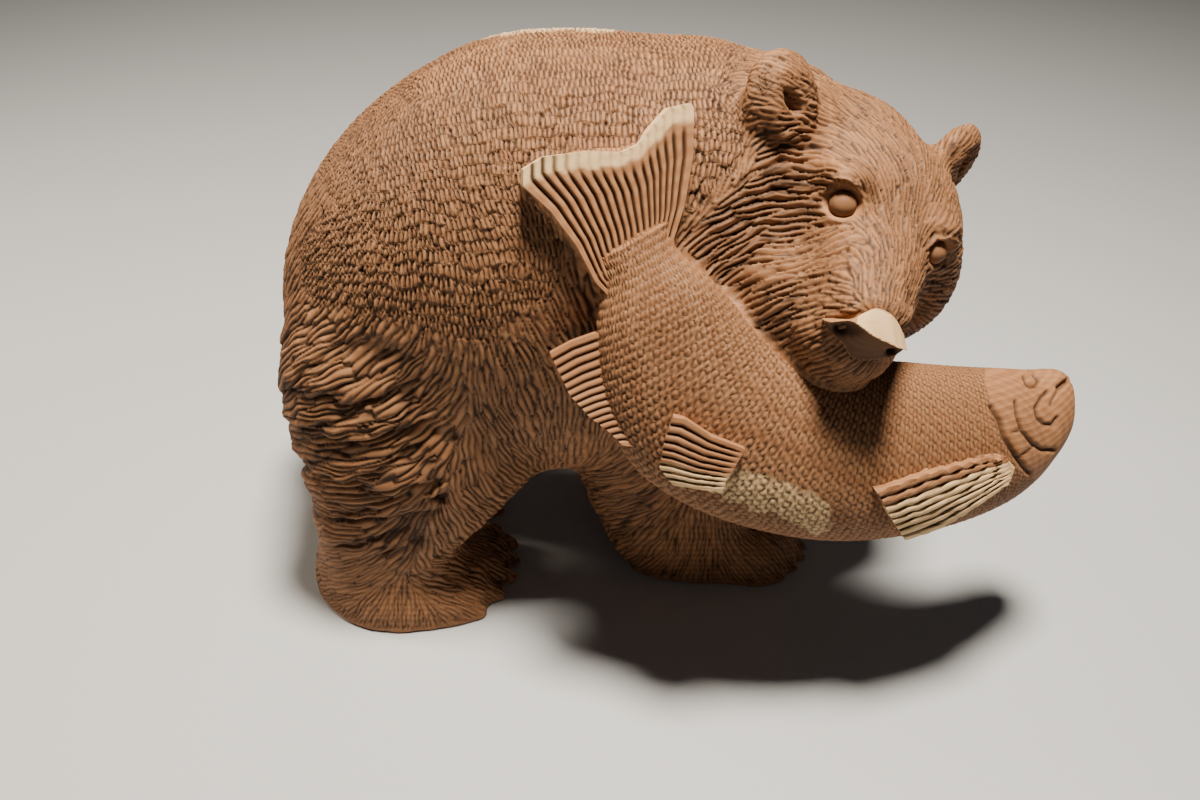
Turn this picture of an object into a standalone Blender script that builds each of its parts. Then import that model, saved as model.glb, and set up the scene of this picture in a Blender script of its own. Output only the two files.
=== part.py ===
# Bear with a salmon across its mouth, carved in one block of wood.
# Metres, +Z up, the bear heads +X and stands on Z = 0.

import math

import bmesh
import bpy
import numpy as np
from mathutils import Matrix, Vector

# Driving sizes
LENGTH = 0.418
UNIT = LENGTH / 418.0
FISH_THICKNESS = 0.050
TAIL_THICKNESS = 0.008
FIN_THICKNESS = 0.006
EAR_RADIUS = 0.0195
EAR_THICKNESS = 0.018
EAR_CUP_DEPTH = 0.007
EYE_RADIUS = 0.0062
CLAW_LENGTH = 0.013
CLAW_WIDTH = 0.009
TOE_PITCH = 0.014
FORM_VOXEL = 0.004
SKIN_VOXEL = 0.0024
FACE_TARGET = 10500

# Middle plane of the body, in units
MID_Y = 15.0


def reset_scene():
    for item in list(bpy.data.objects):
        bpy.data.objects.remove(item)
    for group in list(bpy.data.collections):
        bpy.data.collections.remove(group)


def add_mesh(name, points, faces, group):
    data = bpy.data.meshes.new(name)
    data.from_pydata([tuple(p) for p in points], [], faces)
    work = bmesh.new()
    work.from_mesh(data)
    bmesh.ops.recalc_face_normals(work, faces=work.faces)
    work.to_mesh(data)
    work.free()
    item = bpy.data.objects.new(name, data)
    group.objects.link(item)
    return item


def at(x, y, z):
    return Vector((x, y, z)) * UNIT


def smooth_stations(stations, steps=4):
    rows = [np.array(s, float) for s in stations]
    rows = [2 * rows[0] - rows[1]] + rows + [2 * rows[-1] - rows[-2]]
    out = []
    for i in range(1, len(rows) - 2):
        a, b, c, d = rows[i - 1], rows[i], rows[i + 1], rows[i + 2]
        for k in range(steps):
            t = k / steps
            out.append(0.5 * (2 * b + (c - a) * t + (2 * a - 5 * b + 4 * c - d) * t * t
                              + (3 * b - a - 3 * c + d) * t ** 3))
    out.append(rows[-2])
    return out


def loft(name, rings, group):
    count = len(rings[0])
    points = [p for ring in rings for p in ring]
    faces = []
    for i in range(len(rings) - 1):
        for j in range(count):
            k = (j + 1) % count
            faces.append((i * count + j, i * count + k, (i + 1) * count + k, (i + 1) * count + j))
    faces.append(tuple(range(count)))
    faces.append(tuple((len(rings) - 1) * count + j for j in range(count)))
    return add_mesh(name, points, faces, group)


def oval(centre, side_u, side_v, half_u, half_v, power=2.0, count=36):
    ring = []
    for j in range(count):
        a = 2 * math.pi * j / count
        c, s = math.cos(a), math.sin(a)
        u = math.copysign(abs(c) ** (2 / power), c) * half_u
        v = math.copysign(abs(s) ** (2 / power), s) * half_v
        ring.append(Vector(centre) + Vector(side_u) * u + Vector(side_v) * v)
    return ring


def ball(name, centre, radii, axes, group):
    bpy.ops.mesh.primitive_ico_sphere_add(subdivisions=4, radius=1.0)
    item = bpy.context.object
    item.name = name
    turn = Matrix((axes[0], axes[1], axes[2])).transposed().to_4x4()
    size = Matrix.Diagonal((radii[0], radii[1], radii[2], 1.0))
    item.data.transform(Matrix.Translation(centre) @ turn @ size)
    for old in list(item.users_collection):
        old.objects.unlink(item)
    group.objects.link(item)
    return item


XYZ = (Vector((1, 0, 0)), Vector((0, 1, 0)), Vector((0, 0, 1)))


def lengthwise(name, stations, group, power=2.2):
    rings = []
    for x, y, z, w, h in smooth_stations(stations):
        rings.append(oval(at(x, y, z), XYZ[1], XYZ[2], w * UNIT, h * UNIT, power))
    return loft(name, rings, group)


def upright(name, stations, shift_x, far, group, power=2.3):
    rings = []
    for z, x, y, w, d in smooth_stations(stations):
        if far:
            y = 2 * MID_Y - y
        rings.append(oval(at(x + shift_x, y, z), XYZ[0], XYZ[1], w * UNIT, d * UNIT, power))
    return loft(name, rings, group)


# Body masses
TORSO = (
    (-204, 15, 160, 20, 34),
    (-196, 15, 163, 42, 56),
    (-180, 15, 170, 60, 78),
    (-158, 15, 178, 73, 95),
    (-128, 15, 186, 81, 109),
    (-93, 15, 192, 84, 119),
    (-53, 15, 196, 84, 119),
    (-18, 15, 196, 82, 117),
    (17, 14, 194, 78, 118),
    (45, 13, 188, 68, 110),
    (66, 12, 176, 50, 90),
    (80, 10, 168, 26, 50),
)
HIND_LEG = (
    (14, -155, -30, 46, 34),
    (40, -158, -29, 41, 35),
    (64, -148, -28, 51, 38),
    (82, -141, -27, 58, 41),
    (100, -136, -26, 66, 43),
    (132, -137, -24, 67, 45),
    (172, -141, -21, 62, 44),
    (212, -140, -12, 46, 36),
    (240, -136, 0, 24, 22),
)
FORE_LEG = (
    (12, 20, -14, 46, 21),
    (36, 10, -14, 45, 22),
    (62, -1, -15, 44, 24),
    (92, -8, -15, 45, 30),
    (124, -6, -18, 48, 36),
    (165, -4, -20, 52, 40),
    (210, -4, -10, 44, 38),
    (245, -4, 0, 26, 24),
)
HIND_FOOT = (
    (-206, -22, 4, 12, 20),
    (-196, -27, 4, 22, 30),
    (-178, -32, 4, 32, 36),
    (-154, -34, 4, 36, 36),
    (-122, -31, 4, 35, 30),
    (-102, -29, 2, 29, 25),
)
FORE_FOOT = (
    (-16, -10, 4, 11, 20),
    (-4, -12, 4, 17, 28),
    (20, -14, 4, 20, 32),
    (52, -14, 4, 22, 30),
    (70, -13, 4, 20, 25),
    (80, -11, 2, 16, 20),
)

# Head frame: sideways to the near ear, forward along the muzzle, and up
HEAD_AT = at(75, -10, 234)
SIDE = Vector((-0.922, -0.033, 0.386)).normalized()
FORE = Vector((0.116, -0.974, 0.193))
FORE = (FORE - SIDE * FORE.dot(SIDE)).normalized()
CROWN = SIDE.cross(FORE).normalized()
if CROWN.z < 0:
    CROWN = -CROWN


def head(side, fore, crown):
    return HEAD_AT + (SIDE * side + FORE * fore + CROWN * crown) * UNIT


def head_ball(name, place, radii, group):
    size = [r * UNIT for r in radii]
    return ball(name, head(*place), size, (SIDE, FORE, CROWN), group)


MUZZLE = (
    (20, 0, -4, 43, 37),
    (44, 1, -9, 34, 32),
    (62, 3, -15, 27, 28),
    (76, 5, -20, 22, 22),
    (86, 6, -24, 17, 16),
)

# Salmon: middle of the section, half height, turn of the back in degrees
FISH_LEAN = math.radians(25)
FISH_NORMAL = Vector((0, -math.cos(FISH_LEAN), math.sin(FISH_LEAN)))
FISH_UP = Vector((0, math.sin(FISH_LEAN), math.cos(FISH_LEAN)))
FISH = (
    (-33, -61, 252, 21, 29, 0.30),
    (-28, -66, 240, 18.5, 28, 0.42),
    (-20, -74, 222, 29, 28, 0.62),
    (-10, -80, 199, 38.5, 33, 0.80),
    (5, -84, 179, 44.5, 43, 0.95),
    (26, -87, 166, 46.5, 52, 1.0),
    (52, -88, 157, 46.5, 65, 1.02),
    (79, -87, 151, 45.5, 78, 1.02),
    (106, -83, 148, 43.5, 88, 1.0),
    (134, -77, 146, 40, 94, 0.94),
    (160, -70, 146, 35, 96, 0.84),
    (179, -62, 146, 29.5, 95, 0.72),
    (189, -59, 151, 24, 94, 0.60),
    (195, -57, 154, 19, 94, 0.48),
    (200, -56, 157, 11, 94, 0.30),
)


def fish_frame(turn):
    a = math.radians(turn)
    return Vector((1, 0, 0)) * math.cos(a) + FISH_UP * math.sin(a)


def salmon(group):
    rings = []
    for x, y, z, h, turn, share in smooth_stations(FISH):
        back = fish_frame(turn)
        rings.append(oval(at(x, y, z), back, FISH_NORMAL, h * UNIT, share * FISH_THICKNESS / 2, 2.1))
    return loft("salmon", rings, group)


def plate(name, outline, normal, thickness, group):
    middle = Vector(normal).normalized() * thickness / 2
    count = len(outline)
    points = [Vector(p) - middle for p in outline] + [Vector(p) + middle for p in outline]
    faces = [tuple(range(count)), tuple(range(2 * count - 1, count - 1, -1))]
    for j in range(count):
        k = (j + 1) % count
        faces.append((j, k, count + k, count + j))
    return add_mesh(name, points, faces, group)


def build():
    reset_scene()
    group = bpy.data.collections.new("bear_with_salmon")
    cutters = bpy.data.collections.new("cutters")
    bpy.context.scene.collection.children.link(group)
    bpy.context.scene.collection.children.link(cutters)

    masses = [lengthwise("torso", TORSO, cutters)]
    for far in (False, True):
        tag = "far" if far else "near"
        hind_shift = -10 if far else 0
        fore_shift = 14 if far else 0
        masses.append(upright("hind_leg_" + tag, HIND_LEG, hind_shift, far, cutters))
        masses.append(upright("fore_leg_" + tag, FORE_LEG, fore_shift, far, cutters))
        for name, rows, shift in (("hind_foot_", HIND_FOOT, hind_shift), ("fore_foot_", FORE_FOOT, fore_shift)):
            moved = [(x + shift, 2 * MID_Y - y if far else y, z, w, h) for x, y, z, w, h in rows]
            masses.append(lengthwise(name + tag, moved, cutters, 2.6))
    masses.append(ball("neck", at(36, 12, 234), [r * UNIT for r in (62, 62, 74)], XYZ, cutters))
    masses.append(ball("nape", at(70, 12, 255), [r * UNIT for r in (50, 44, 37)], XYZ, cutters))
    masses.append(head_ball("skull", (-2, 0, 0), (62, 54, 54), cutters))
    masses.append(head_ball("cheek_near", (30, -4, -14), (44, 46, 46), cutters))
    masses.append(head_ball("cheek_far", (-30, 2, -10), (40, 44, 44), cutters))
    rings = []
    for f, s, c, w, h in smooth_stations(MUZZLE):
        rings.append(oval(head(s, f, c), SIDE, CROWN, w * UNIT, h * UNIT, 2.2))
    masses.append(loft("muzzle", rings, cutters))
    masses.append(head_ball("brow_near", (27, 44, 24), (15, 10, 8), cutters))
    masses.append(head_ball("brow_far", (-28, 42, 21), (15, 10, 8), cutters))
    masses.append(head_ball("lip", (3, 66, -38), (26, 22, 22), cutters))
    masses.append(head_ball("jaw", (4, 34, -56), (24, 30, 20), cutters))
    masses.append(head_ball("jowl", (22, 34, -36), (32, 34, 30), cutters))

    form = join(masses, "form", cutters)
    remesh(form, FORM_VOXEL)
    smooth(form, 14)
    form = settle(form, "form_smooth", cutters)

    details = [form, salmon(cutters)]
    details += ears(cutters) + face(cutters) + fins(cutters) + toes(cutters)
    bear = join(details, "bear_with_salmon", group)
    remesh(bear, SKIN_VOXEL)
    smooth(bear, 2)
    for cup in ear_cups(cutters):
        subtract(bear, cup)
    trim = bear.modifiers.new("fewer_faces", "DECIMATE")
    trim.ratio = face_share(bear)
    subtract(bear, floor(cutters))
    bear = settle(bear, "bear_with_salmon", group)
    for item in cutters.objects:
        item.hide_render = True
        item.display_type = "WIRE"
    middle = stand_on_origin(bear)
    bear.data.materials.clear()
    bear.data.materials.append(wood())
    bear.data.shade_smooth()
    return middle


def stand_on_origin(item):
    spots = np.array([tuple(v.co) for v in item.data.vertices])
    low, high = spots.min(axis=0), spots.max(axis=0)
    middle = Vector(((low[0] + high[0]) / 2, (low[1] + high[1]) / 2, low[2]))
    item.data.transform(Matrix.Translation(-middle))
    return middle


def join(items, name, group):
    work = bmesh.new()
    for item in items:
        copy = item.data.copy()
        copy.transform(item.matrix_world)
        work.from_mesh(copy)
        bpy.data.meshes.remove(copy)
    data = bpy.data.meshes.new(name)
    work.to_mesh(data)
    work.free()
    for item in items:
        bpy.data.objects.remove(item)
    whole = bpy.data.objects.new(name, data)
    group.objects.link(whole)
    return whole


def remesh(item, size):
    step = item.modifiers.new("skin", "REMESH")
    step.mode = "VOXEL"
    step.voxel_size = size


def smooth(item, times):
    step = item.modifiers.new("soften", "SMOOTH")
    step.factor = 0.5
    step.iterations = times


def settle(item, name, group):
    graph = bpy.context.evaluated_depsgraph_get()
    data = bpy.data.meshes.new_from_object(item.evaluated_get(graph))
    bpy.data.objects.remove(item)
    out = bpy.data.objects.new(name, data)
    group.objects.link(out)
    return out


def subtract(item, cutter):
    step = item.modifiers.new("cut_" + cutter.name, "BOOLEAN")
    step.operation = "DIFFERENCE"
    step.solver = "EXACT"
    step.object = cutter


def face_share(item):
    graph = bpy.context.evaluated_depsgraph_get()
    data = item.evaluated_get(graph).to_mesh()
    count = sum(len(p.vertices) - 2 for p in data.polygons)
    return min(1.0, FACE_TARGET / count)


def floor(group):
    bpy.ops.mesh.primitive_cube_add(size=1.0)
    item = bpy.context.object
    item.name = "floor"
    item.data.transform(Matrix.Diagonal((2 * LENGTH, 2 * LENGTH, 0.2, 1.0)))
    item.data.transform(Matrix.Translation((0, 0, -0.1)))
    for old in list(item.users_collection):
        old.objects.unlink(item)
    group.objects.link(item)
    return item


EARS = (
    ("near", (36, -23, 300), (0.50, -0.82, 0.28), (-0.30, 0.15, 0.94), 1.08),
    ("far", (131, 1, 264), (0.62, -0.76, -0.18), (0.45, 0.25, 0.80), 0.88),
)


def ear_axes(facing, top):
    normal = Vector(facing).normalized()
    up = (Vector(top) - normal * Vector(top).dot(normal)).normalized()
    return (up.cross(normal), up, normal)


def ears(group):
    out = []
    for tag, place, facing, top, share in EARS:
        radius = EAR_RADIUS * share
        radii = (radius, radius * 1.06, EAR_THICKNESS / 2)
        out.append(ball("ear_" + tag, at(*place), radii, ear_axes(facing, top), group))
    return out


def ear_cups(group):
    out = []
    for tag, place, facing, top, share in EARS:
        axes = ear_axes(facing, top)
        radius = EAR_RADIUS * share * 0.5
        centre = at(*place) + axes[2] * (EAR_THICKNESS / 2) - axes[1] * radius * 0.3
        out.append(ball("ear_cup_" + tag, centre, (radius, radius * 1.3, EAR_CUP_DEPTH), axes, group))
    return out


def face(group):
    out = [head_ball("nose", (6, 85, -20), (18, 9, 11), group)]
    for tag, spot in (("near", (27, 52.5, 14)), ("far", (-29, 49, 10))):
        place = head(*spot)
        size = (EYE_RADIUS, EYE_RADIUS, EYE_RADIUS)
        out.append(ball("eye_" + tag, place, size, (SIDE, FORE, CROWN), group))
    return out


TAIL_BASE = at(-29, -67, 240)
TAIL_SIDE = Vector((0.894, 0.289, 0.342)).normalized()
TAIL_OUT = Vector((-0.423, 0.292, 0.858))
TAIL_OUT = (TAIL_OUT - TAIL_SIDE * TAIL_OUT.dot(TAIL_SIDE)).normalized()
TAIL = ((-10, -15), (2, -19), (20, -20), (38, -24), (52, -30), (58, -26), (59, -17), (53, 2), (47, 14),
        (47, 22), (51, 30), (55, 40), (55, 47), (51, 50), (33, 42), (15, 30), (4, 20), (-10, 16))
ANAL_FIN = ((-66, -19), (-57, -14), (-46, -10), (-34, -9), (-30, -60), (-39, -54), (-48, -48), (-55, -41))
PELVIC_FIN = ((-12, -1), (-7, -2), (5, -10), (18, -18), (14, -28), (10, -36), (-10, -33), (-16, -25))
PECTORAL_FIN = ((83, -11), (108, -4), (135, -0), (149, 0), (155, -6), (153, -13), (138, -23), (120, -34),
                (104, -39), (92, -25))


def flank_point(spot, origin, rise, lift):
    return at(spot[0], origin[1], origin[2]) + (FISH_UP * spot[1] + FISH_NORMAL * lift) * UNIT * rise


def fins(group):
    fan = [TAIL_BASE + (TAIL_OUT * a + TAIL_SIDE * b) * UNIT for a, b in TAIL]
    out = [plate("tail", fan, TAIL_OUT.cross(TAIL_SIDE), TAIL_THICKNESS, group)]
    rows = (("anal_fin", ANAL_FIN, (0, -74, 222), 0), ("pelvic_fin", PELVIC_FIN, (0, -84, 179), 25),
            ("pectoral_fin", PECTORAL_FIN, (0, -77, 146), 24))
    for name, outline, origin, lift in rows:
        points = [flank_point(p, origin, 1.0, lift) for p in outline]
        out.append(plate(name, points, FISH_NORMAL, FIN_THICKNESS, group))
    return out


TOES = (
    ("hind_near", (-104, -29), False),
    ("hind_far", (-114, -29), True),
    ("fore_near", (78, -14), False),
    ("fore_far", (92, -14), True),
)
TOE_SHARE = {"hind": 1.0, "fore": 0.66}


def toes(group):
    out = []
    for tag, place, far in TOES:
        for k in range(5):
            off = k - 2
            pitch = TOE_PITCH * TOE_SHARE[tag[:4]]
            y = place[1] + off * pitch / UNIT
            x = place[0] - 2.2 * off * off + 4.5 * off
            if far:
                y = 2 * MID_Y - y
            pad = (14 * UNIT, pitch * 0.58, 22 * UNIT)
            out.append(ball("toe_%s_%d" % (tag, k), at(x, y, 2), pad, XYZ, group))
            nail = (CLAW_LENGTH, CLAW_WIDTH / 2 * TOE_SHARE[tag[:4]], 13 * UNIT)
            out.append(ball("claw_%s_%d" % (tag, k), at(x + 8, y, 0), nail, XYZ, group))
    return out


def wood():
    material = bpy.data.materials.new("carved_wood")
    material.use_nodes = True
    shader = material.node_tree.nodes["Principled BSDF"]
    shader.inputs["Base Color"].default_value = (0.31, 0.155, 0.075, 1.0)
    shader.inputs["Roughness"].default_value = 0.55
    material.diffuse_color = (0.31, 0.155, 0.075, 1.0)
    return material


MIDDLE = build()
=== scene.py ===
# %% [markdown]
# # A bear with a salmon, carved in one block of wood
# The real piece is cut from one log: first the big masses with an axe and wide gouges,
# then the coat, scale by scale and lock by lock, with small gouges and V-tools.
# We work in the same order. The CAD solid is the roughed-out block, and every cut of
# the small tools is laid on it as real mesh.

# %% Take the roughed-out block into the scene
import math

import bpy
import numpy as np
from mathutils import Matrix, Vector, kdtree


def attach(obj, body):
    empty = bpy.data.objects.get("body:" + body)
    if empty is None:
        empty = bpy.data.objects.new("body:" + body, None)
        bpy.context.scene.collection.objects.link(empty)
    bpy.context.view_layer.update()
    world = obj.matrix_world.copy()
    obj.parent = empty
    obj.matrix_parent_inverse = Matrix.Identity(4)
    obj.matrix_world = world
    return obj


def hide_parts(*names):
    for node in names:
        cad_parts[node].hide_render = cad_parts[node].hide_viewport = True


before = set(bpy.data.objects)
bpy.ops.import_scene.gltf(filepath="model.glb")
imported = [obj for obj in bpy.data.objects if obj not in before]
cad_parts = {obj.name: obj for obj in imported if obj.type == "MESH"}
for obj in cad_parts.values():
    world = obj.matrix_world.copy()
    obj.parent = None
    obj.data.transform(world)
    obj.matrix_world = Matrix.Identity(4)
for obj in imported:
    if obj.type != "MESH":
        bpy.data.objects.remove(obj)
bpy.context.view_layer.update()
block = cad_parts["bear_with_salmon"]

# %% [markdown]
# Places are easiest to read in millimetres. The carver's marks are counted from a point
# on the floor under the middle of the body, and this small shift takes them to the scene.
# The head looks down to the side, so it has its own three directions.

# %% Places in millimetres, and the head's own directions
MM = 0.001
SHIFT = Vector((0.00766649, 0.01187957, 0.0))
MIDDLE_Y = 0.0269


def place(x, y, z):
    return Vector((x, y, z)) * MM + SHIFT


HEAD_AT = place(75, -10, 234)
HEAD_SIDE = Vector((-0.922, -0.033, 0.386)).normalized()
HEAD_FORE = Vector((0.116, -0.974, 0.193))
HEAD_FORE = (HEAD_FORE - HEAD_SIDE * HEAD_FORE.dot(HEAD_SIDE)).normalized()
HEAD_TOP = HEAD_SIDE.cross(HEAD_FORE).normalized()
if HEAD_TOP.z < 0:
    HEAD_TOP = -HEAD_TOP
HEAD_AXES = np.array([HEAD_SIDE, HEAD_FORE, HEAD_TOP])


def on_head(side, fore, top):
    return HEAD_AT + (HEAD_SIDE * side + HEAD_FORE * fore + HEAD_TOP * top) * MM


print("head at", [round(v, 3) for v in HEAD_AT])

# %% [markdown]
# Small helpers save repeating ourselves. Some choose an object or some of its faces, or
# apply a modifier for good. The others read and set all points of a mesh at once as
# numbers, or keep one number for each point, which a material can read later.

# %% Helpers for choosing, applying and moving points
def choose(item):
    if bpy.context.object and bpy.context.object.mode != "OBJECT":
        bpy.ops.object.mode_set(mode="OBJECT")
    bpy.ops.object.select_all(action="DESELECT")
    item.select_set(True)
    bpy.context.view_layer.objects.active = item


def apply(item, kind, **values):
    choose(item)
    step = item.modifiers.new(kind.lower(), kind)
    for name, value in values.items():
        setattr(step, name, value)
    bpy.ops.object.modifier_apply(modifier=step.name)


def choose_faces(item, flags):
    choose(item)
    bpy.ops.object.mode_set(mode="EDIT")
    bpy.ops.mesh.select_mode(type="FACE")
    bpy.ops.mesh.select_all(action="DESELECT")
    bpy.ops.object.mode_set(mode="OBJECT")
    item.data.polygons.foreach_set("select", flags)
    item.data.update()
    bpy.ops.object.mode_set(mode="EDIT")


def values_of(rows, name, width=1, kind=float):
    values = np.empty(len(rows) * width, dtype=kind)
    rows.foreach_get(name, values)
    return values if width == 1 else values.reshape(-1, width)


def points_of(item):
    return values_of(item.data.vertices, "co", 3)


def normals_of(item):
    return values_of(item.data.vertex_normals, "vector", 3)


def set_points(item, points):
    item.data.vertices.foreach_set("co", np.ascontiguousarray(points).ravel())
    item.data.update()


def note(item, name, values):
    layer = item.data.attributes.get(name)
    if layer is None:
        layer = item.data.attributes.new(name, "FLOAT", "POINT")
    layer.data.foreach_set("value", np.asarray(values, dtype=np.float32))


def read(item, name):
    return values_of(item.data.attributes[name].data, "value", kind=np.float32).astype(float)


# %% Helpers for directions, soft edges and wandering lines
TINY = 1e-12
WAVES = 5
FULL_TURN = 6.28


def unit(rows):
    return rows / (np.linalg.norm(rows, axis=-1, keepdims=True) + TINY)


def soft_step(value, low, high):
    t = np.clip((value - low) / (high - low), 0, 1)
    return t * t * (3 - 2 * t)


def wander(points, size, seed):
    rng = np.random.default_rng(seed)
    total = np.zeros(len(points))
    for _ in range(WAVES):
        way = unit(rng.normal(size=3)) * 2 * math.pi / (size * rng.uniform(0.7, 1.4))
        total += np.sin(points @ way + rng.uniform(0, FULL_TURN))
    return total / WAVES


# %% [markdown]
# The block's facets are a few millimetres wide. A voxel remesh gives an even skin of small
# squares, and a light smoothing takes the facets away, as a scraper would.

# %% An even skin on the block
SKIN = 0.00168
SAME_PLACE = 1e-6


def copy_of(item, name):
    copy = item.copy()
    copy.data = item.data.copy()
    copy.name = name
    bpy.context.scene.collection.objects.link(copy)
    return copy


bear = copy_of(block, "bear")
choose(bear)
bpy.ops.object.mode_set(mode="EDIT")
bpy.ops.mesh.select_all(action="SELECT")
bpy.ops.mesh.remove_doubles(threshold=SAME_PLACE)
bpy.ops.object.mode_set(mode="OBJECT")
apply(bear, "REMESH", mode="VOXEL", voxel_size=SKIN)
apply(bear, "SMOOTH", factor=0.5, iterations=12)
print("skin:", len(bear.data.polygons), "faces")

# %% [markdown]
# Some marks are easier to read off the photograph than in space. The camera's place, its
# three directions and its lens tell where any point of the carving falls in the picture,
# counted in dots from the top left corner.

# %% Where a place falls in the picture
PICTURE_WIDTH = 1200.0
MIDDLE_ACROSS = 600
MIDDLE_DOWN = 400
LENS = 981.0
LOOK_FROM = np.array((-0.06033351, -0.43312043, 0.45))
LOOK_RIGHT = np.array((0.99846, -0.04483, 0.03296))
LOOK_UP = np.array((0.00049, 0.59993, 0.80022))
LOOK_BACK = np.array((-0.05564, -0.79964, 0.59879))


def picture_place(points):
    out = points - LOOK_FROM
    far = -(out @ LOOK_BACK)
    across = MIDDLE_ACROSS + LENS * (out @ LOOK_RIGHT) / far
    down = MIDDLE_DOWN - LENS * (out @ LOOK_UP) / far
    return np.column_stack((across, down))


print("picture place of the head:", picture_place(np.array([HEAD_AT])).round())

# %% [markdown]
# The salmon is carved crosswise in the bear's jaws. It gets a skin of its own, because its
# scales follow the fish and not the bear. At fifteen stations from the tail to the snout we
# give its place, its half height, its turn and its share of the full thickness. A smooth
# curve runs through them.

# %% The salmon's middle line and sections
FISH_LEAN = math.radians(25)
FISH_OUT = np.array((0, -math.cos(FISH_LEAN), math.sin(FISH_LEAN)))
FISH_UP = np.array((0, math.sin(FISH_LEAN), math.cos(FISH_LEAN)))
FISH_HALF = 25.0
SQUARENESS = 2.1
STEPS_BETWEEN = 24
STATIONS = np.array((
    (-33, -61, 252, 21, 29, 0.30),
    (-28, -66, 240, 18.5, 28, 0.42),
    (-20, -74, 222, 29, 28, 0.62),
    (-10, -80, 199, 38.5, 33, 0.80),
    (5, -84, 179, 44.5, 43, 0.95),
    (26, -87, 166, 46.5, 52, 1.0),
    (52, -88, 157, 46.5, 65, 1.02),
    (79, -87, 151, 45.5, 78, 1.02),
    (106, -83, 148, 43.5, 88, 1.0),
    (134, -77, 146, 40, 94, 0.94),
    (160, -70, 146, 35, 96, 0.84),
    (179, -62, 146, 29.5, 95, 0.72),
    (189, -59, 151, 24, 94, 0.60),
    (195, -57, 154, 19, 94, 0.48),
    (200, -56, 157, 11, 94, 0.30),
))


def curve_through(rows, steps):
    rows = np.vstack((2 * rows[0] - rows[1], rows, 2 * rows[-1] - rows[-2]))
    out = []
    for i in range(1, len(rows) - 2):
        a, b, c, d = rows[i - 1:i + 3]
        for t in np.arange(steps) / steps:
            out.append(0.5 * (2 * b + (c - a) * t + (2 * a - 5 * b + 4 * c - d) * t * t
                              + (3 * b - a - 3 * c + d) * t ** 3))
    out.append(rows[-2])
    return np.array(out)


spine = curve_through(STATIONS, STEPS_BETWEEN)
spine_steps = np.linalg.norm(np.diff(spine[:, :3], axis=0), axis=1)
spine_run = np.concatenate(((0,), np.cumsum(spine_steps)))
SHIFT_MM = np.array(SHIFT) * 1000


def fish_section(run):
    row = np.array([np.interp(run, spine_run, spine[:, k]) for k in range(6)]).T
    turn = np.radians(row[:, 4])
    back = np.cos(turn)[:, None] * np.array((1.0, 0, 0)) + np.sin(turn)[:, None] * FISH_UP
    return row[:, :3] + SHIFT_MM, back, row[:, 3], row[:, 5] * FISH_HALF


print("salmon's middle line:", round(spine_run[-1]), "mm")

# %% [markdown]
# Where the salmon's own skin will lie, the block's skin is drawn in by three millimetres,
# and by more under the fins, so that the two never fight for the same place. First we need
# to know how far each point is from the fish, and how the tail and the fins are laid out.

# %% How far a point is from the fish
NEAR_STATION = 4
FALL_OFF = 0.08


def fish_reach(points):
    place_mm = points * 1000
    middle, back, high, thick = fish_section(spine_run)
    best = np.full(len(points), 1e9)
    pull = np.zeros((len(points), 3))
    for i in range(0, len(spine_run), 4):
        out = place_mm - middle[i]
        along = np.cross(back[i], FISH_OUT)
        near = np.abs(out @ along)
        reach = np.abs(out @ back[i] / high[i]) ** SQUARENESS
        reach = reach + np.abs(out @ FISH_OUT / thick[i]) ** SQUARENESS
        reach = reach ** (1 / SQUARENESS) + np.maximum(near - NEAR_STATION, 0) * FALL_OFF
        better = reach < best
        best[better] = reach[better]
        pull[better] = -out[better]
    return best, unit(pull)


# %% How the tail and the fins are laid out
TAIL_AT = np.array((-29, -67, 240)) + SHIFT_MM
TAIL_SIDE = unit(np.array((0.894, 0.289, 0.342)))
TAIL_OUT = np.array((-0.423, 0.292, 0.858))
TAIL_OUT = unit(TAIL_OUT - TAIL_SIDE * (TAIL_OUT @ TAIL_SIDE))
TAIL_NORMAL = np.cross(TAIL_OUT, TAIL_SIDE)
if TAIL_NORMAL[1] > 0:
    TAIL_NORMAL = -TAIL_NORMAL


def on_tail(out, side):
    return TAIL_AT + out[:, None] * TAIL_OUT + side[:, None] * TAIL_SIDE


def on_flank(origin, lift, follow):
    start = np.array(origin, float) + SHIFT_MM
    middle, back, high, thick = fish_section(spine_run)

    def spot(out, side):
        at = np.tile(start, (len(out), 1))
        at[:, 0] = out + SHIFT_MM[0]
        at += side[:, None] * FISH_UP
        if not follow:
            return at + FISH_OUT * lift
        flat = at[:, None, :] - middle[None, :, :]
        flat -= (flat @ FISH_OUT)[..., None] * FISH_OUT
        k = np.argmin(np.sum(flat ** 2, axis=2), axis=1)
        across = np.clip(np.abs(np.sum((at - middle[k]) * back[k], axis=1)) / high[k], 0, 0.93)
        level = thick[k] * (1 - across ** SQUARENESS) ** (1 / SQUARENESS) + lift
        return at + FISH_OUT * (level - (at - middle[k]) @ FISH_OUT)[:, None]

    return spot


def inside_outline(outline, out, side, grow):
    outline = np.array(outline, float)
    centre = outline.mean(axis=0)
    away = np.linalg.norm(outline - centre, axis=1)[:, None]
    outline = centre + (outline - centre) * (1 + grow / away)
    odd = np.zeros(len(out), dtype=bool)
    for a, b in zip(outline, np.roll(outline, -1, axis=0)):
        crosses = (a[1] > side) != (b[1] > side)
        edge = a[0] + (side - a[1]) / (b[1] - a[1] + 1e-9) * (b[0] - a[0])
        odd ^= crosses & (out < edge)
    return odd


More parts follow.
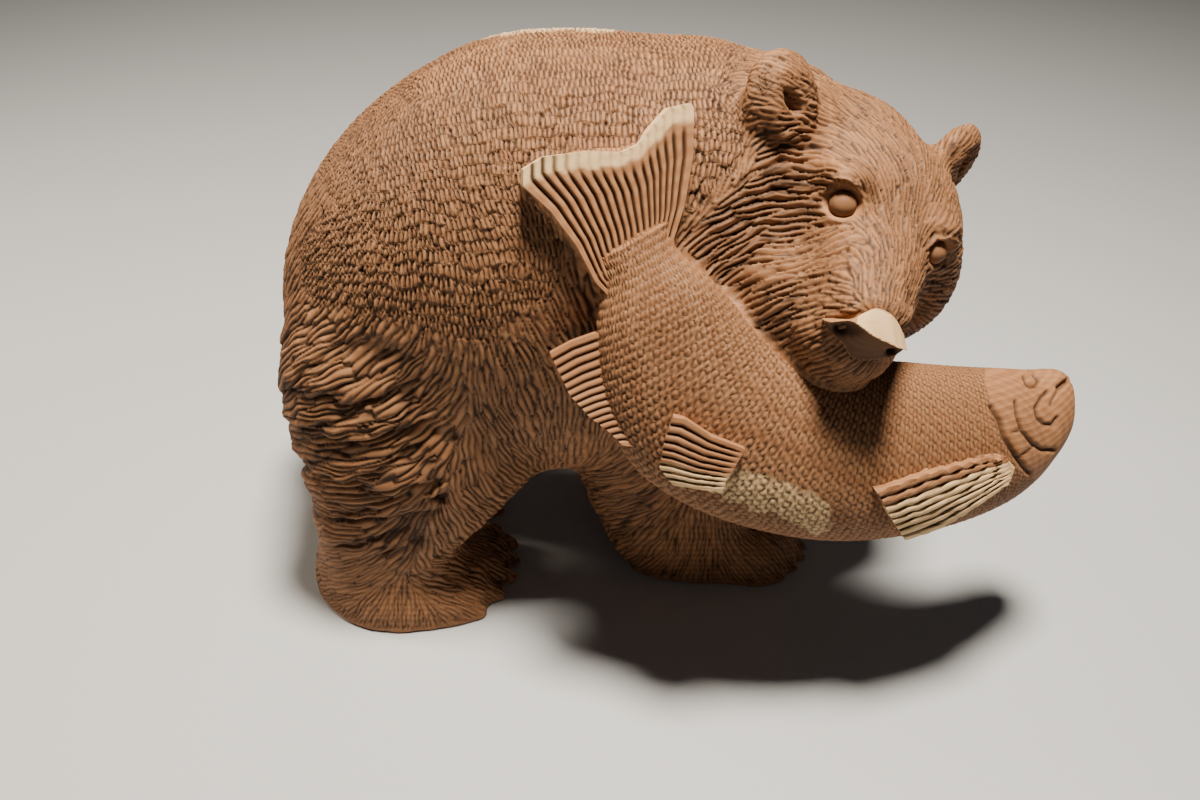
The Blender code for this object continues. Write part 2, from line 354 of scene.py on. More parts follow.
# %% Draw the skin in under the tail and the anal fin
TAIL_OUTLINE = (
    (8, -20), (20, -20), (38, -24), (52, -30), (58, -26), (59, -17), (53, 2), (47, 14),
    (47, 22), (51, 30), (55, 40), (55, 47), (51, 50), (33, 42), (15, 30), (8, 24),
)
ANAL_OUTLINE = (
    (-68, -19), (-57, -13), (-46, -8), (-34, -8), (-26, -60), (-39, -56), (-50, -48), (-57, -41),
)
ANAL_AT = (0, -74, 222)
PLATE_MARGIN = 2.5
PLATE_LEVEL = 6.5
FLATTEN = 0.72
SHRINK = 0.06
bear_points = points_of(bear)
fin_under = np.zeros(len(bear_points), dtype=bool)
for at, out_way, side_way, normal, outline in (
        (TAIL_AT, TAIL_OUT, TAIL_SIDE, TAIL_NORMAL, TAIL_OUTLINE),
        (np.array(ANAL_AT) + SHIFT_MM, np.array((1.0, 0, 0)), FISH_UP, FISH_OUT, ANAL_OUTLINE)):
    away = bear_points / MM - at
    out, side, level = away @ out_way, away @ side_way, away @ normal
    held = inside_outline(outline, out, side, PLATE_MARGIN) & (np.abs(level) < PLATE_LEVEL)
    middle = np.array(outline, float).mean(axis=0)
    shrink = SHRINK * ((out - middle[0])[:, None] * out_way + (side - middle[1])[:, None] * side_way)
    bear_points[held] -= ((level * FLATTEN)[:, None] * normal + shrink)[held] * MM
    fin_under |= held
set_points(bear, bear_points)
print("drawn in under the fins:", int(fin_under.sum()), "points")

# %% Draw the skin in under the fish and the fins on its side
NEAR_FINS = (
    ((858, 484), (880, 478), (960, 465), (1010, 462), (1014, 486), (985, 508), (940, 530),
     (903, 544), (886, 530)),
    ((664, 412), (680, 410), (708, 434), (742, 446), (748, 474), (728, 494), (700, 492),
     (664, 476)),
)
FADE_OUT = 1.11
FADE_IN = 1.05
UNDER_FISH = 3.0
UNDER_FINS = 5.5
FIN_MARGIN = 1.0
FIN_REACH = 1.7
bear_points = points_of(bear)
reach, pull = fish_reach(bear_points)
under_fish = soft_step(-reach, -FADE_OUT, -FADE_IN)
bear_points += pull * (under_fish * UNDER_FISH * MM)[:, None]
spots = picture_place(bear_points)
for outline in NEAR_FINS:
    held = inside_outline(outline, spots[:, 0], spots[:, 1], FIN_MARGIN)
    held &= (reach < FIN_REACH) & (pull @ FISH_OUT < -0.2)
    bear_points[held] -= FISH_OUT * UNDER_FINS * MM
    fin_under |= held
set_points(bear, bear_points)
under_fish = np.maximum(under_fish, fin_under)
note(bear, "under", under_fish)
print("drawn in under the salmon:", int((under_fish > 0.5).sum()), "points")

# %% [markdown]
# The face comes before the coat. A few soft dents and swellings make the eye sockets, the
# brows and the bridge of the nose. Each has a place on the head, a reach in the head's three
# directions and a height, all in millimetres.

# %% Model the face in the skin
STEEP = 1.6
FACE_PUSHES = (
    (27, 52, 14, 8.5, 9.5, 7.5, -5.4), (27, 50, 24, 12, 9, 5.5, 2.4), (33, 50, 6, 9, 8, 5, 1.2),
    (-29, 50, 10, 8.0, 8.5, 7.0, -5.0), (-28, 48, 20, 11, 9, 5.5, 2.4), (-33, 47, 3, 9, 8, 5, 1.2),
    (0, 56, 14, 8, 16, 8, -1.4), (3, 74, -4, 9, 14, 8, 1.4),
    (16, 66, -8, 7, 12, 8, -1.6), (-12, 64, -10, 7, 12, 8, -1.6),
    (12, 76, -50, 10, 12, 6, -1.5), (4, 95, -29, 15, 9, 8, -2.6),
)
bear_points = points_of(bear)
skin_normals = normals_of(bear)
head_place = (bear_points - np.array(HEAD_AT)) @ HEAD_AXES.T / MM
for side, fore, top, a, b, c, push in FACE_PUSHES:
    far = ((head_place - (side, fore, top)) / (a, b, c)) ** 2
    bear_points += skin_normals * (push * MM * np.exp(-far.sum(axis=1) * STEEP))[:, None]
set_points(bear, bear_points)
print(len(FACE_PUSHES), "dents and swellings")

# %% [markdown]
# On the block each ear is a deep bowl. The real ears are nearly full, with one small slanting
# pocket, so each bowl is filled to a low dome and the pocket is pressed into it. An ear has a
# place, the way that it faces, the way to its top, and its size beside the larger one.

# %% Fill the ear bowls and leave a small pocket in each
EARS = (
    ((36, -23, 300), (0.50, -0.82, 0.28), (-0.30, 0.15, 0.94), 1.08),
    ((131, 1, 264), (0.62, -0.76, -0.18), (0.45, 0.25, 0.80), 0.88),
)
BOWL_WIDE = 12
BOWL_HIGH = 15
DOME = 9.0
POCKET = 6.0
bear_points = points_of(bear)
for at, facing, top, share in EARS:
    normal = unit(np.array(facing))
    up = unit(np.array(top) - normal * (np.array(top) @ normal))
    across = np.cross(up, normal)
    out = (bear_points / MM - np.array(at) - SHIFT_MM) / share
    flat = np.sqrt((out @ across / BOWL_WIDE) ** 2 + ((out @ up + 3) / BOWL_HIGH) ** 2)
    level = out @ normal
    inside = (flat < 1.25) & (np.abs(level) < 13)
    wanted = DOME - 0.8 * flat ** 2
    slant = out @ across + 1.5 + 0.35 * (out @ up)
    pocket = np.exp(-((slant / 2.6) ** 2 + ((out @ up + 1) / 5.2) ** 2) ** 2)
    wanted = wanted - POCKET * pocket
    blend = inside * (1 - soft_step(flat, 0.95, 1.25)) * soft_step(level, -3, 0)
    bear_points += normal * ((wanted - level) * blend * share * MM)[:, None]
set_points(bear, bear_points)
apply(bear, "SMOOTH", factor=0.5, iterations=2)
print("ears shaped")

# %% [markdown]
# Only what the photographer's eye sees, and the top of the head, is cut finest. There each
# square of the skin is split in four, and the rest keeps the coarser skin.

# %% Split the skin where the finest cuts go
skin_normals = normals_of(bear)
bear_points = points_of(bear)
to_eye = unit(LOOK_FROM - bear_points)
seen = (np.sum(skin_normals * to_eye, axis=1) > 0.02) & (under_fish < 0.5)
seen |= (bear_points[:, 2] > 0.28) & (bear_points[:, 1] < 0.04)
corners = values_of(bear.data.loops, "vertex_index", kind=np.int64)
starts = values_of(bear.data.polygons, "loop_start", kind=np.int64)
flags = np.logical_and.reduceat(seen[corners], starts)
choose_faces(bear, flags)
bpy.ops.mesh.subdivide(number_cuts=1)
bpy.ops.object.mode_set(mode="OBJECT")
apply(bear, "SMOOTH", factor=0.5, iterations=2)
print("skin after the split:", len(bear.data.vertices), "points")

# %% [markdown]
# Each eye is a ball left standing in a hollow. The hollow is cut round it, and the two lids
# are left as a raised rim, thicker above than below.

# %% Sockets and lids
EYES = (((26.0, 49.5, 13.4), 6.2), ((-28.0, 46.5, 9.3), 5.8))
HOLLOW_DEPTH = 3.6
LID_AT = 1.24
LID_WIDTH = 0.22
EYE_RISE = 2.8
eye_centres = []
for at, radius in EYES:
    bear_points = points_of(bear)
    away = bear_points / MM - np.array(on_head(*at)) / MM
    near = np.linalg.norm(away, axis=1) < 16
    ring = near & (np.linalg.norm(away, axis=1) > 10)
    facing = unit(normals_of(bear)[near].mean(axis=0))
    long_way = unit(np.cross(facing, HEAD_TOP))
    high_way = np.cross(long_way, facing)
    if high_way @ HEAD_TOP < 0:
        high_way = -high_way
    level = away @ facing
    base = float(np.median(level[ring & (level > -6)]))
    a = away @ long_way
    b = away @ high_way
    far = np.sqrt((a / (radius * 1.30)) ** 2 + (b / (radius * 1.02)) ** 2)
    hollow = np.exp(-(far / 1.02) ** 6)
    rim = np.exp(-((far - LID_AT) / LID_WIDTH) ** 2) * (1.2 + 0.9 * np.tanh(b / 3))
    wanted = hollow * (base - HOLLOW_DEPTH - level) + rim * (1 - hollow)
    held = near & (level > base - 9)
    bear_points[held] += (facing * (wanted * MM)[:, None])[held]
    set_points(bear, bear_points)
    eye_centres.append((np.array(on_head(*at)) / MM + facing * (base - radius + EYE_RISE)) * MM)
print("eyes at", [[round(float(v), 3) for v in c] for c in eye_centres])

# %% [markdown]
# Hair grows in one direction at each place, and the carver follows it. These guides were
# read off the figure: the kind of cut used, a place, and the way the hair runs there.
# Each kind has a length, a width and a depth in millimetres, and a tilt: where the tilt is
# large, each lock leans so that it faces down and keeps itself in shadow.

# %% The kinds of cut and the guides of the coat
CUTS = {
    "weave": (6.5, 2.4, 1.15, 0.0),
    "fan": (13.0, 2.4, 1.20, 0.0),
    "lock": (25.0, 2.8, 1.60, 0.15),
    "leg": (20.0, 2.7, 1.40, 0.15),
    "foot": (12.0, 2.2, 0.75, 0.0),
    "cheek": (15.0, 2.5, 1.40, 0.85),
    "face": (8.0, 2.1, 1.00, 0.1),
    "ear": (8.0, 2.0, 0.60, 0.0),
}
GUIDES = (
    ("weave", (
        (-113, -24, 278, 0.19, -0.74, -0.64), (-82, -42, 264, 0.37, -0.46, -0.81),
        (-101, 34, 304, 0.08, -0.99, 0.11), (-53, -6, 307, 0.04, -0.89, -0.45),
        (-63, -30, 287, 0.02, -0.71, -0.70), (-37, -44, 280, 0.04, -0.67, -0.74),
        (-69, -54, 229, 0.18, -0.17, -0.97), (-92, -55, 217, 0.15, -0.15, -0.98),
        (-117, -49, 229, -0.10, -0.21, -0.96), (-143, -42, 222, -0.40, -0.05, -0.88),
        (-165, -30, 215, -0.46, 0.12, -0.82), (-20, -35, 290, -0.02, -0.95, -0.31),
        (7, -21, 293, -0.01, -0.82, -0.57), (20, -30, 281, -0.06, -0.58, -0.81),
        (5, -38, 270, -0.26, -0.43, -0.87), (-190, 20, 200, -0.1, 0.0, -1.0),
        (0, 20, 312, 0.0, -1.0, 0.0), (-150, 20, 285, -0.3, -0.9, -0.2),
    )),
    ("fan", (
        (-58, -56, 200, 0.51, -0.10, -0.85), (-50, -56, 214, 0.38, -0.14, -0.92),
        (-90, -54, 164, 0.15, 0.11, -0.98), (-83, -53, 153, 0.55, 0.15, -0.82),
        (-70, -54, 159, 0.25, 0.16, -0.96), (-59, -50, 143, 0.12, 0.28, -0.95),
        (-97, -53, 119, 0.12, 0.01, -0.99), (-79, -46, 125, 0.72, 0.32, -0.62),
        (-79, -44, 102, 0.52, 0.50, -0.69), (-97, -52, 96, 0.61, 0.31, -0.73),
        (-111, -52, 80, 0.28, 0.27, -0.92), (-83, -48, 130, -0.03, 0.12, -0.99),
        (-51, -51, 149, -0.11, 0.24, -0.96), (-56, -39, 117, -0.04, 0.48, -0.88),
        (-109, -54, 160, -0.71, 0.0, -0.71),
    )),
    ("lock", (
        (-127, -55, 154, -0.91, -0.05, -0.41), (-156, -53, 153, -0.97, 0.18, -0.14),
        (-117, -55, 135, -0.76, -0.10, -0.64), (-143, -56, 125, -0.98, 0.09, -0.20),
        (-168, -50, 121, -0.92, 0.38, -0.10), (-126, -56, 104, -0.71, 0.0, -0.70),
        (-149, -55, 99, -0.98, 0.15, -0.13), (-172, -48, 96, -0.88, 0.47, -0.04),
        (-141, -54, 74, -0.68, 0.08, -0.73), (-166, -50, 74, -0.93, 0.35, -0.10),
        (-190, 0, 120, -0.3, 0.8, -0.4), (-192, -15, 160, -0.4, 0.3, -0.8),
    )),
    ("leg", (
        (-168, -36, 185, -0.85, 0.2, -0.45), (-140, -50, 180, -0.75, 0.0, -0.6),
    )),
    ("foot", (
        (-159, -51, 47, -0.82, 0.14, -0.56), (-179, -43, 37, -0.73, 0.54, -0.41),
        (-169, -49, 27, -0.91, 0.28, -0.29), (-162, -53, 18, -0.43, -0.02, -0.90),
        (-144, -56, 17, -0.13, -0.22, -0.97), (-120, -45, 31, 0.87, 0.29, -0.40),
        (-109, -35, 31, 0.76, 0.17, -0.63),
    )),
    ("leg", (
        (-19, -29, 89, -0.84, 0.35, -0.42), (-13, -24, 60, -0.88, 0.30, -0.38),
        (2, -25, 52, -0.45, 0.17, -0.88), (-3, -20, 25, -0.59, 0.29, -0.75),
    )),
    ("foot", (
        (16, -23, 33, -0.17, 0.09, -0.98), (27, -23, 45, 0.10, 0.06, -0.99),
        (69, -16, 26, 0.7, -0.3, -0.6),
    )),
    ("leg", (
        (-10, -35, 120, -0.5, 0.2, -0.85), (30, -35, 120, 0.1, 0.1, -1.0),
        (40, -25, 80, 0.2, 0.1, -1.0),
    )),
    ("cheek", (
        (52, -31, 269, -0.93, 0.35, -0.09), (41, -34, 263, -0.99, -0.15, 0.06),
        (52, -41, 254, -0.90, 0.38, -0.20), (23, -42, 257, -0.96, -0.24, -0.16),
        (52, -49, 248, -0.88, 0.21, -0.43), (21, -47, 243, -0.85, -0.22, -0.47),
        (63, -60, 253, -0.78, 0.03, -0.63), (53, -62, 242, -0.85, 0.32, -0.41),
        (60, -35, 276, -0.55, 0.79, -0.27), (49, -21, 283, -0.98, -0.17, 0.06),
    )),
    ("face", (
        (62, -82, 239, -0.53, 0.73, -0.44), (56, -84, 222, -0.58, 0.38, -0.72),
    )),
    ("cheek", (
        (37, -65, 225, -0.74, 0.21, -0.63), (30, -73, 214, -0.71, 0.30, -0.60),
    )),
    ("face", (
        (63, -11, 289, -0.93, -0.27, 0.24), (81, -18, 284, -0.40, 0.85, 0.34),
        (92, -27, 278, -0.40, 0.75, 0.53), (101, -37, 265, 0.16, 0.79, 0.60),
        (123, -30, 259, 0.33, 0.90, 0.28), (77, -41, 276, -0.57, 0.26, 0.78),
        (93, -59, 256, 0.32, 0.90, 0.30), (82, -57, 260, -0.41, 0.81, 0.42),
        (138, -15, 245, 0.42, 0.89, -0.16), (76, -80, 249, 0.30, 0.84, 0.44),
        (90, -77, 246, 0.37, 0.87, 0.34), (124, -39, 210, 0.5, 0.6, -0.5),
    )),
    ("ear", (
        (39, -21, 306, -0.9, 0.2, 0.3), (136, 2, 265, 0.8, 0.3, 0.3),
    )),
)
BODY_KINDS = ("weave", "fan", "lock", "leg", "foot")
guides = [(kind, *row) for kind, rows in GUIDES for row in rows]
guide_cut = np.array([CUTS[g[0]] for g in guides])
guide_at = np.array([g[1:4] for g in guides], float) * MM
guide_way = unit(np.array([g[4:7] for g in guides], float))
body_guide = np.array([g[0] in BODY_KINDS for g in guides])
other_at = guide_at[body_guide] * (1, -1, 1) + (0, 2 * MIDDLE_Y, 0)
other_way = guide_way[body_guide] * (1, -1, 1)
guide_at = np.vstack((guide_at, other_at))
guide_way = np.vstack((guide_way, other_way))
guide_cut = np.vstack((guide_cut, guide_cut[body_guide]))
print(len(guide_at), "guides")

# %% [markdown]
# Between guides the hair turns smoothly: each point takes a mean of all the guides, the
# near ones counting most, and the mean is laid flat on the surface there. The guides of the
# body are mirrored for its other side. On the far side of the head, which has no guides,
# the hair runs back from the nose.

# %% Comb the whole skin
GUIDE_REACH = 0.009
DROOP = 0.05


def comb(points, normals):
    way = np.zeros_like(points)
    cut = np.zeros((len(points), 4))
    total = np.zeros(len(points))
    for g in range(len(guide_at)):
        gap = np.sum((points - guide_at[g]) ** 2, axis=1)
        weight = 1.0 / (gap + GUIDE_REACH ** 2) ** 2
        way += weight[:, None] * guide_way[g]
        cut += weight[:, None] * guide_cut[g]
        total += weight
    cut /= total[:, None]
    way /= total[:, None]
    way += DROOP * np.array((0, 0, -1.0))
    way -= normals * np.sum(way * normals, axis=1)[:, None]
    return unit(way), cut


skin = points_of(bear)
skin_normals = normals_of(bear)
hair, cut = comb(skin, skin_normals)
from_nose = skin - np.array(on_head(4, 84, -18))
head_place = (skin - np.array(HEAD_AT)) @ HEAD_AXES.T / MM
hidden_head = soft_step(-head_place[:, 0], 5, 25) * soft_step(skin[:, 0], 0.06, 0.09)
hidden_head *= soft_step(skin[:, 2], 0.12, 0.16)
back_from_nose = from_nose - skin_normals * np.sum(from_nose * skin_normals, axis=1)[:, None]
hair = hair * (1 - hidden_head)[:, None] + unit(back_from_nose) * hidden_head[:, None]
hair = unit(hair - skin_normals * np.sum(hair * skin_normals, axis=1)[:, None])
print("combed", len(skin), "points")

# %% [markdown]
# On the back and the upper flank the cuts stand in rows, like a weave: short upright cuts,
# one row under the other. Everywhere else they are scattered, none too near the next.
# So there are two ways of choosing where cuts start.

# %% Rows of short cuts on the back
WEAVE_END = 0.034
BODY_MIDDLE = 0.20
BODY_HALF_WIDTH = 0.082
BODY_HALF_HEIGHT = 0.11
GIRTH = 0.095
SLANT = 0.22
ROW_PITCH = 0.0050
COLUMN_PITCH = 0.0023
weave_like = soft_step(CUTS["weave"][0] + 2.2 - cut[:, 0], 0, 1.0) * (1 - hidden_head)
weave_like *= soft_step(WEAVE_END - skin[:, 0] + 0.35 * (skin[:, 2] - 0.30), 0, 0.004)
aside = (skin[:, 1] - MIDDLE_Y) / BODY_HALF_WIDTH
about = np.arctan2(aside, (skin[:, 2] - BODY_MIDDLE) / BODY_HALF_HEIGHT)
column = skin[:, 0] + SLANT * (skin[:, 2] - 0.26)
column = column + 0.0032 * wander(skin, 0.04, 3) + 0.0012 * wander(skin, 0.010, 8)
column = column / COLUMN_PITCH
row = GIRTH * about + 0.0034 * wander(skin, 0.034, 4) + 0.0022 * wander(skin, 0.012, 7)
row = row / ROW_PITCH
in_weave = (weave_like > 0.5) & (np.abs(skin_normals[:, 0]) < 0.82)


def lattice_seeds(mask, across, along, jitter):
    index = np.nonzero(mask)[0]
    j = np.round(along[index]).astype(np.int64)
    stagger = across[index] + 0.5 * (j % 2)
    i = np.round(stagger).astype(np.int64)
    off = jitter * (np.sin(i * 12.9898 + j * 78.233) * 43758.5453 % 1.0 - 0.5)
    far = (stagger - i) ** 2 + (along[index] - j - off) ** 2
    key = (i + 5000) * 100000 + (j + 5000)
    order = np.lexsort((far, key))
    first = np.concatenate(((True,), np.diff(key[order]) != 0))
    return index[order][first][far[order][first] < 0.3]


row_seeds = lattice_seeds(in_weave, column, row, 0.5)
note(bear, "column", column)
note(bear, "row", row)
note(bear, "weave", in_weave)
print(len(row_seeds), "cuts in rows")

# %% Scattered cuts everywhere else
SPACING = 0.85


def tree_of(places):
    tree = kdtree.KDTree(len(places))
    for k, at in enumerate(places):
        tree.insert(at, k)
    tree.balance()
    return tree


def scattered_seeds(mask, cut, hair, crowd, seed):
    rng = np.random.default_rng(seed)
    index = np.nonzero(mask)[0]
    chance = np.minimum(1.0, crowd * skin_area[index] / (cut[index, 0] * cut[index, 1] * MM * MM))
    index = index[rng.random(len(index)) < chance]
    rng.shuffle(index)
    dead = np.zeros(len(index), dtype=bool)
    kept = []
    at, way, size = skin[index], hair[index], cut[index] * MM
    side = np.cross(skin_normals[index], way)
    tree = tree_of(at)
    for k in range(len(index)):
        if dead[k]:
            continue
        kept.append(index[k])
        found = tree.find_range(at[k], SPACING * size[k, 0])
        near = np.array([n for _, n, _ in found], dtype=np.int64)
        gap = at[near] - at[k]
        run = gap @ way[k] / (SPACING * size[k, 0])
        wide = gap @ side[k] / (SPACING * size[k, 1])
        dead[near[run * run + wide * wide < 1.0]] = True
    return np.array(kept)


def point_areas(item):
    areas = values_of(item.data.polygons, "area")
    counts = values_of(item.data.polygons, "loop_total", kind=np.int64)
    where = values_of(item.data.loops, "vertex_index", kind=np.int64)
    return np.bincount(where, np.repeat(areas / counts, counts), len(item.data.vertices))


skin_area = point_areas(bear)
under = values_of(bear.data.attributes["under"].data, "value", kind=np.float32)
free_seeds = scattered_seeds(~in_weave & (under < 0.8), cut, hair, 4.0, 21)
print(len(free_seeds), "scattered cuts")

# %% [markdown]
# Each point of the skin belongs to the nearest cut, where near is measured along the hair
# in lengths and across it in widths. Where two cuts meet there is a fine valley, and along
# the hair each lock rises a little to its tip and drops to the next one.

# %% Find the cut that each point belongs to
EDGE = 1.3
ROUND_A_CORNER = 5.0


def carve(points, normals, seeds, seed_size, sway, count):
    points = points + np.cross(normals, hair) * (sway * wander(points, 0.013, 17) * MM)[:, None]
    at = points[seeds]
    tree = tree_of(at)
    near = np.array([[n for _, n, _ in tree.find_n(p, count)] for p in points.tolist()])
    way = hair[seeds]
    side = np.cross(normals[seeds], way)
    first = np.full(len(points), 1e9)
    second = np.full(len(points), 1e9)
    winner = np.zeros(len(points), dtype=np.int64)
    run_won = np.zeros(len(points))
    wide_won = np.zeros(len(points))
    for k in range(count):
        n = near[:, k]
        gap = points - at[n]
        run = np.sum(gap * way[n], axis=1) / (seed_size[n, 0] / 2)
        wide = np.sum(gap * side[n], axis=1) / (seed_size[n, 1] / 2)
        far = np.sqrt(run * run + wide * wide)
        far += np.where(np.sum(normals * normals[seeds][n], axis=1) < 0.1, ROUND_A_CORNER, 0.0)
        won = far < first
        second = np.where(won, first, np.minimum(second, far))
        winner = np.where(won, n, winner)
        run_won = np.where(won, run, run_won)
        wide_won = np.where(won, wide, wide_won)
        first = np.where(won, far, first)
    return winner, np.clip(run_won, -EDGE, EDGE), np.clip(wide_won, -EDGE, EDGE), second - first


# %% Cut the coat
NEAR_CUTS = 12
ROW_CUT = (0.0052, 0.0023)
seeds = np.concatenate((row_seeds, free_seeds))
seed_size = cut[seeds].copy() * MM
seed_size[:len(row_seeds), :2] = ROW_CUT
lift = np.random.default_rng(5).uniform(-1, 1, len(seeds))
sway = 0.5 + 1.0 * soft_step(cut[:, 0], 8, 20)
winner, run, wide, gap = carve(skin, skin_normals, seeds, seed_size, sway, NEAR_CUTS)
sideways = np.clip(1.7 * np.abs(wide) / (np.abs(wide) + np.abs(run) + 1e-6), 0.35, 1.0)
valley = np.exp(-(gap * cut[:, 1] / 2.5) ** 1.5) * sideways
depth = cut[:, 2] * MM
bite = np.random.default_rng(6).uniform(0.55, 1.35, len(seeds))[winner]
valley *= np.clip(bite, 0, 1.25)
upper = np.sign(np.cross(skin_normals, hair)[:, 2])
lean = (0.28 * (1 - cut[:, 3]) + cut[:, 3] * upper) * wide
height = depth * (-1.0 * valley + lean + 0.20 * run + 0.20 * lift[winner])
print("cut from", round(height.min() * 1000, 2), "to", round(height.max() * 1000, 2), "mm")

# %% [markdown]
# The hind leg and the upper forelegs are cut twice: first into thick clumps of hair with a
# wide gouge, then into single locks. The clumps throw the deep shadows there.

# %% Thick clumps under the locks
NEAR_CLUMPS = 6
CLUMP_SHARE = (2.1, 4.4, 1.0, 1.0)
clump_cut = cut * CLUMP_SHARE
heavy = soft_step(cut[:, 0], 15.0, 22.0)
clump_seeds = scattered_seeds((heavy > 0.02) & (under < 0.8), clump_cut, hair, 3.0, 33)
clump, clump_run, clump_wide, clump_gap = carve(
    skin, skin_normals, clump_seeds, clump_cut[clump_seeds] * MM, 2.5 * heavy, NEAR_CLUMPS)
clump_lift = np.random.default_rng(8).uniform(-1, 1, len(clump_seeds))
clump_valley = np.exp(-(clump_gap / 0.45) ** 1.3)
height += heavy * MM * (-1.9 * clump_valley + 1.2 * clump_run + 0.7 * clump_wide + 0.7 * clump_lift[clump])
print(len(clump_seeds), "clumps")

# %% [markdown]
# The soles stay flat on the floor and the skin under the salmon stays plain. Then every
# point moves along its normal by the height of its cut. The depth of the valleys is kept
# as one number for each point, and the material uses it to paint the valleys darker as
# shade. A band of painted shade is kept in the same number along the crevice where the
# skin goes in under the salmon and its fins.

# %% Lay the cuts on the skin
calm = soft_step(skin[:, 2], 0.001, 0.006) * (1 - soft_step(under, 0.3, 0.9))
for centre, (at, radius) in zip(eye_centres, EYES):
    calm *= soft_step(np.linalg.norm(skin - centre, axis=1) / MM, radius + 1.0, radius + 5.0)
skin_cut = skin + skin_normals * (height * calm)[:, None]
skin_cut[:, 2] = np.maximum(skin_cut[:, 2], 0.0)
set_points(bear, skin_cut)
# Painted shade along the crevice where the skin goes in under the salmon and its fins.
crevice_shade = 0.9 * np.clip(1 - np.abs(under - 0.5) / 0.45, 0, 1)
# Painted shade in the valleys between cuts and between clumps, darker where the cuts are deeper.
dark = np.clip(valley * (0.6 + 0.5 * cut[:, 2]) + heavy * clump_valley * 0.6, 0, 1) * calm
note(bear, "groove_and_shade", np.maximum(dark, crevice_shade))
print("coat laid on")

# %% [markdown]
# The salmon starts as a sphere with as many rings as the fish has rows of points. Its
# rings are slid onto the sections of the middle line, which is how a wood turner would
# see it: one turned form, bent and flattened. More of its points stand on the near side,
# where the scales are seen.

# %% The salmon's skin
FISH_RINGS = 420
FISH_SIDES = 148
NEAR_SIDES = 106
BLUNT_END = 0.012


def new_ball(name, sides, rings):
    bpy.ops.object.select_all(action="DESELECT")
    bpy.ops.mesh.primitive_uv_sphere_add(segments=sides, ring_count=rings, radius=1.0)
    item = bpy.context.object
    item.name = name
    return item


def face_outward(item):
    choose(item)
    bpy.ops.object.mode_set(mode="EDIT")
    bpy.ops.mesh.select_all(action="SELECT")
    bpy.ops.mesh.normals_make_consistent(inside=False)
    bpy.ops.object.mode_set(mode="OBJECT")


salmon = new_ball("salmon", FISH_SIDES, FISH_RINGS)
ball = points_of(salmon)
ring = np.arccos(np.clip(ball[:, 2], -1, 1)) / math.pi
turn = np.mod(np.arctan2(ball[:, 1], ball[:, 0]) / (2 * math.pi), 1.0) * FISH_SIDES
near_share = np.clip(turn / NEAR_SIDES, 0, 1) * math.pi
far_share = np.clip((turn - NEAR_SIDES) / (FISH_SIDES - NEAR_SIDES), 0, 1) * math.pi
angle = near_share + far_share
fish_run = ring * spine_run[-1]
middle, back, high, thick = fish_section(fish_run)
end = np.minimum(1.0, np.sqrt(np.clip(np.minimum(ring, 1 - ring) / BLUNT_END, 0, 1) + 1e-9))
u = np.sign(np.cos(angle)) * np.abs(np.cos(angle)) ** (2 / SQUARENESS) * high * end
v = np.sign(np.sin(angle)) * np.abs(np.sin(angle)) ** (2 / SQUARENESS) * thick * end
fish_points = (middle + back * u[:, None] + FISH_OUT * v[:, None]) * MM
set_points(salmon, fish_points)
face_outward(salmon)
print("salmon:", len(salmon.data.polygons), "faces")

# %% [markdown]
# Scales lie in slanting rows, each one over the edge of the next towards the tail. They
# are coarse by the tail and fine behind the head, and the head itself is scraped smooth.

# %% Scales
fish_normals = normals_of(salmon)
fish_skin = points_of(salmon)
HEAD_START = 275.0
SCALE_ROWS = 76
SCALE_LONG = 0.72
SCALE_WIDE = 0.62
pitch_at = np.interp(spine_run, (0, 40, 120, 220, 290), (3.8, 3.5, 2.8, 2.3, 2.0))
steps = np.concatenate(((0,), np.cumsum(np.diff(spine_run) / pitch_at[1:])))
fish_row = np.interp(fish_run, spine_run, steps)
fish_column = angle / (2 * math.pi) * SCALE_ROWS
half = np.floor(fish_row)
best = np.full(len(fish_skin), 1e9)
best_run = np.zeros(len(fish_skin))
runner = np.full(len(fish_skin), 1e9)
for k in (-1, 0, 1, 2):
    r = half + k
    shift_row = 0.5 * np.mod(r, 2)
    c = np.round(fish_column - shift_row) + shift_row
    for side in (-1, 0, 1):
        cc = c + side
        jit = 0.22 * np.sin(r * 12.9 + cc * 7.3)
        run_here = fish_row - r - jit
        wobble = 0.16 * np.sin(r * 5.3 + cc * 21.7)
        wide_here = (fish_column - cc - wobble) / SCALE_WIDE
        far = np.sqrt((run_here / SCALE_LONG) ** 2 + wide_here ** 2)
        won = far < best
        runner = np.where(won, best, np.minimum(runner, far))
        best_run = np.where(won, run_here, best_run)
        best = np.where(won, far, best)
scale_valley = np.exp(-((runner - best) / 0.42) ** 1.4)
print("scale rows:", int(fish_row.max()), "by", SCALE_ROWS)

# %% [markdown]
# On the near side the scales stop at the edge of the gill cover, which is read off the
# picture as pairs of how far down and how far across. On the far side they stop at the
# same length along the fish.

# %% Stop the scales at the gill cover
GILL = np.array((
    (380, 985), (392, 988), (407, 992), (422, 1001),
    (438, 1005), (453, 1014), (467, 1024), (480, 1036),
))
fish_spots = picture_place(fish_skin)
near_side = soft_step(np.sum(fish_normals * unit(LOOK_FROM - fish_skin), axis=1), -0.1, 0.1)
before_gill = soft_step(np.interp(fish_spots[:, 1], GILL[:, 0], GILL[:, 1]) - fish_spots[:, 0], -1.5, 1.5)
before_head = 1 - soft_step(fish_run, HEAD_START - 25, HEAD_START - 15)
on_body = before_gill * near_side + before_head * (1 - near_side)
coarse = np.interp(fish_run, (0, 120, 220, 290), (1.0, 0.75, 0.45, 0.35))
on_front = 0.35 + 0.65 * soft_step(fish_normals @ FISH_OUT, -0.25, 0.1)
fish_height = coarse * on_body * on_front * (-1.0 * scale_valley - 0.85 * best_run)
print("scales cut up to", round(float(-fish_height.min()), 2), "mm deep")

# %% [markdown]
# The head is smooth, with the gill cover, the cheek plate and the jaw drawn as single
# cuts of a V-tool, and a round eye. Each cut has a width in dots of the picture, a depth
# in millimetres and a line of places in the picture.

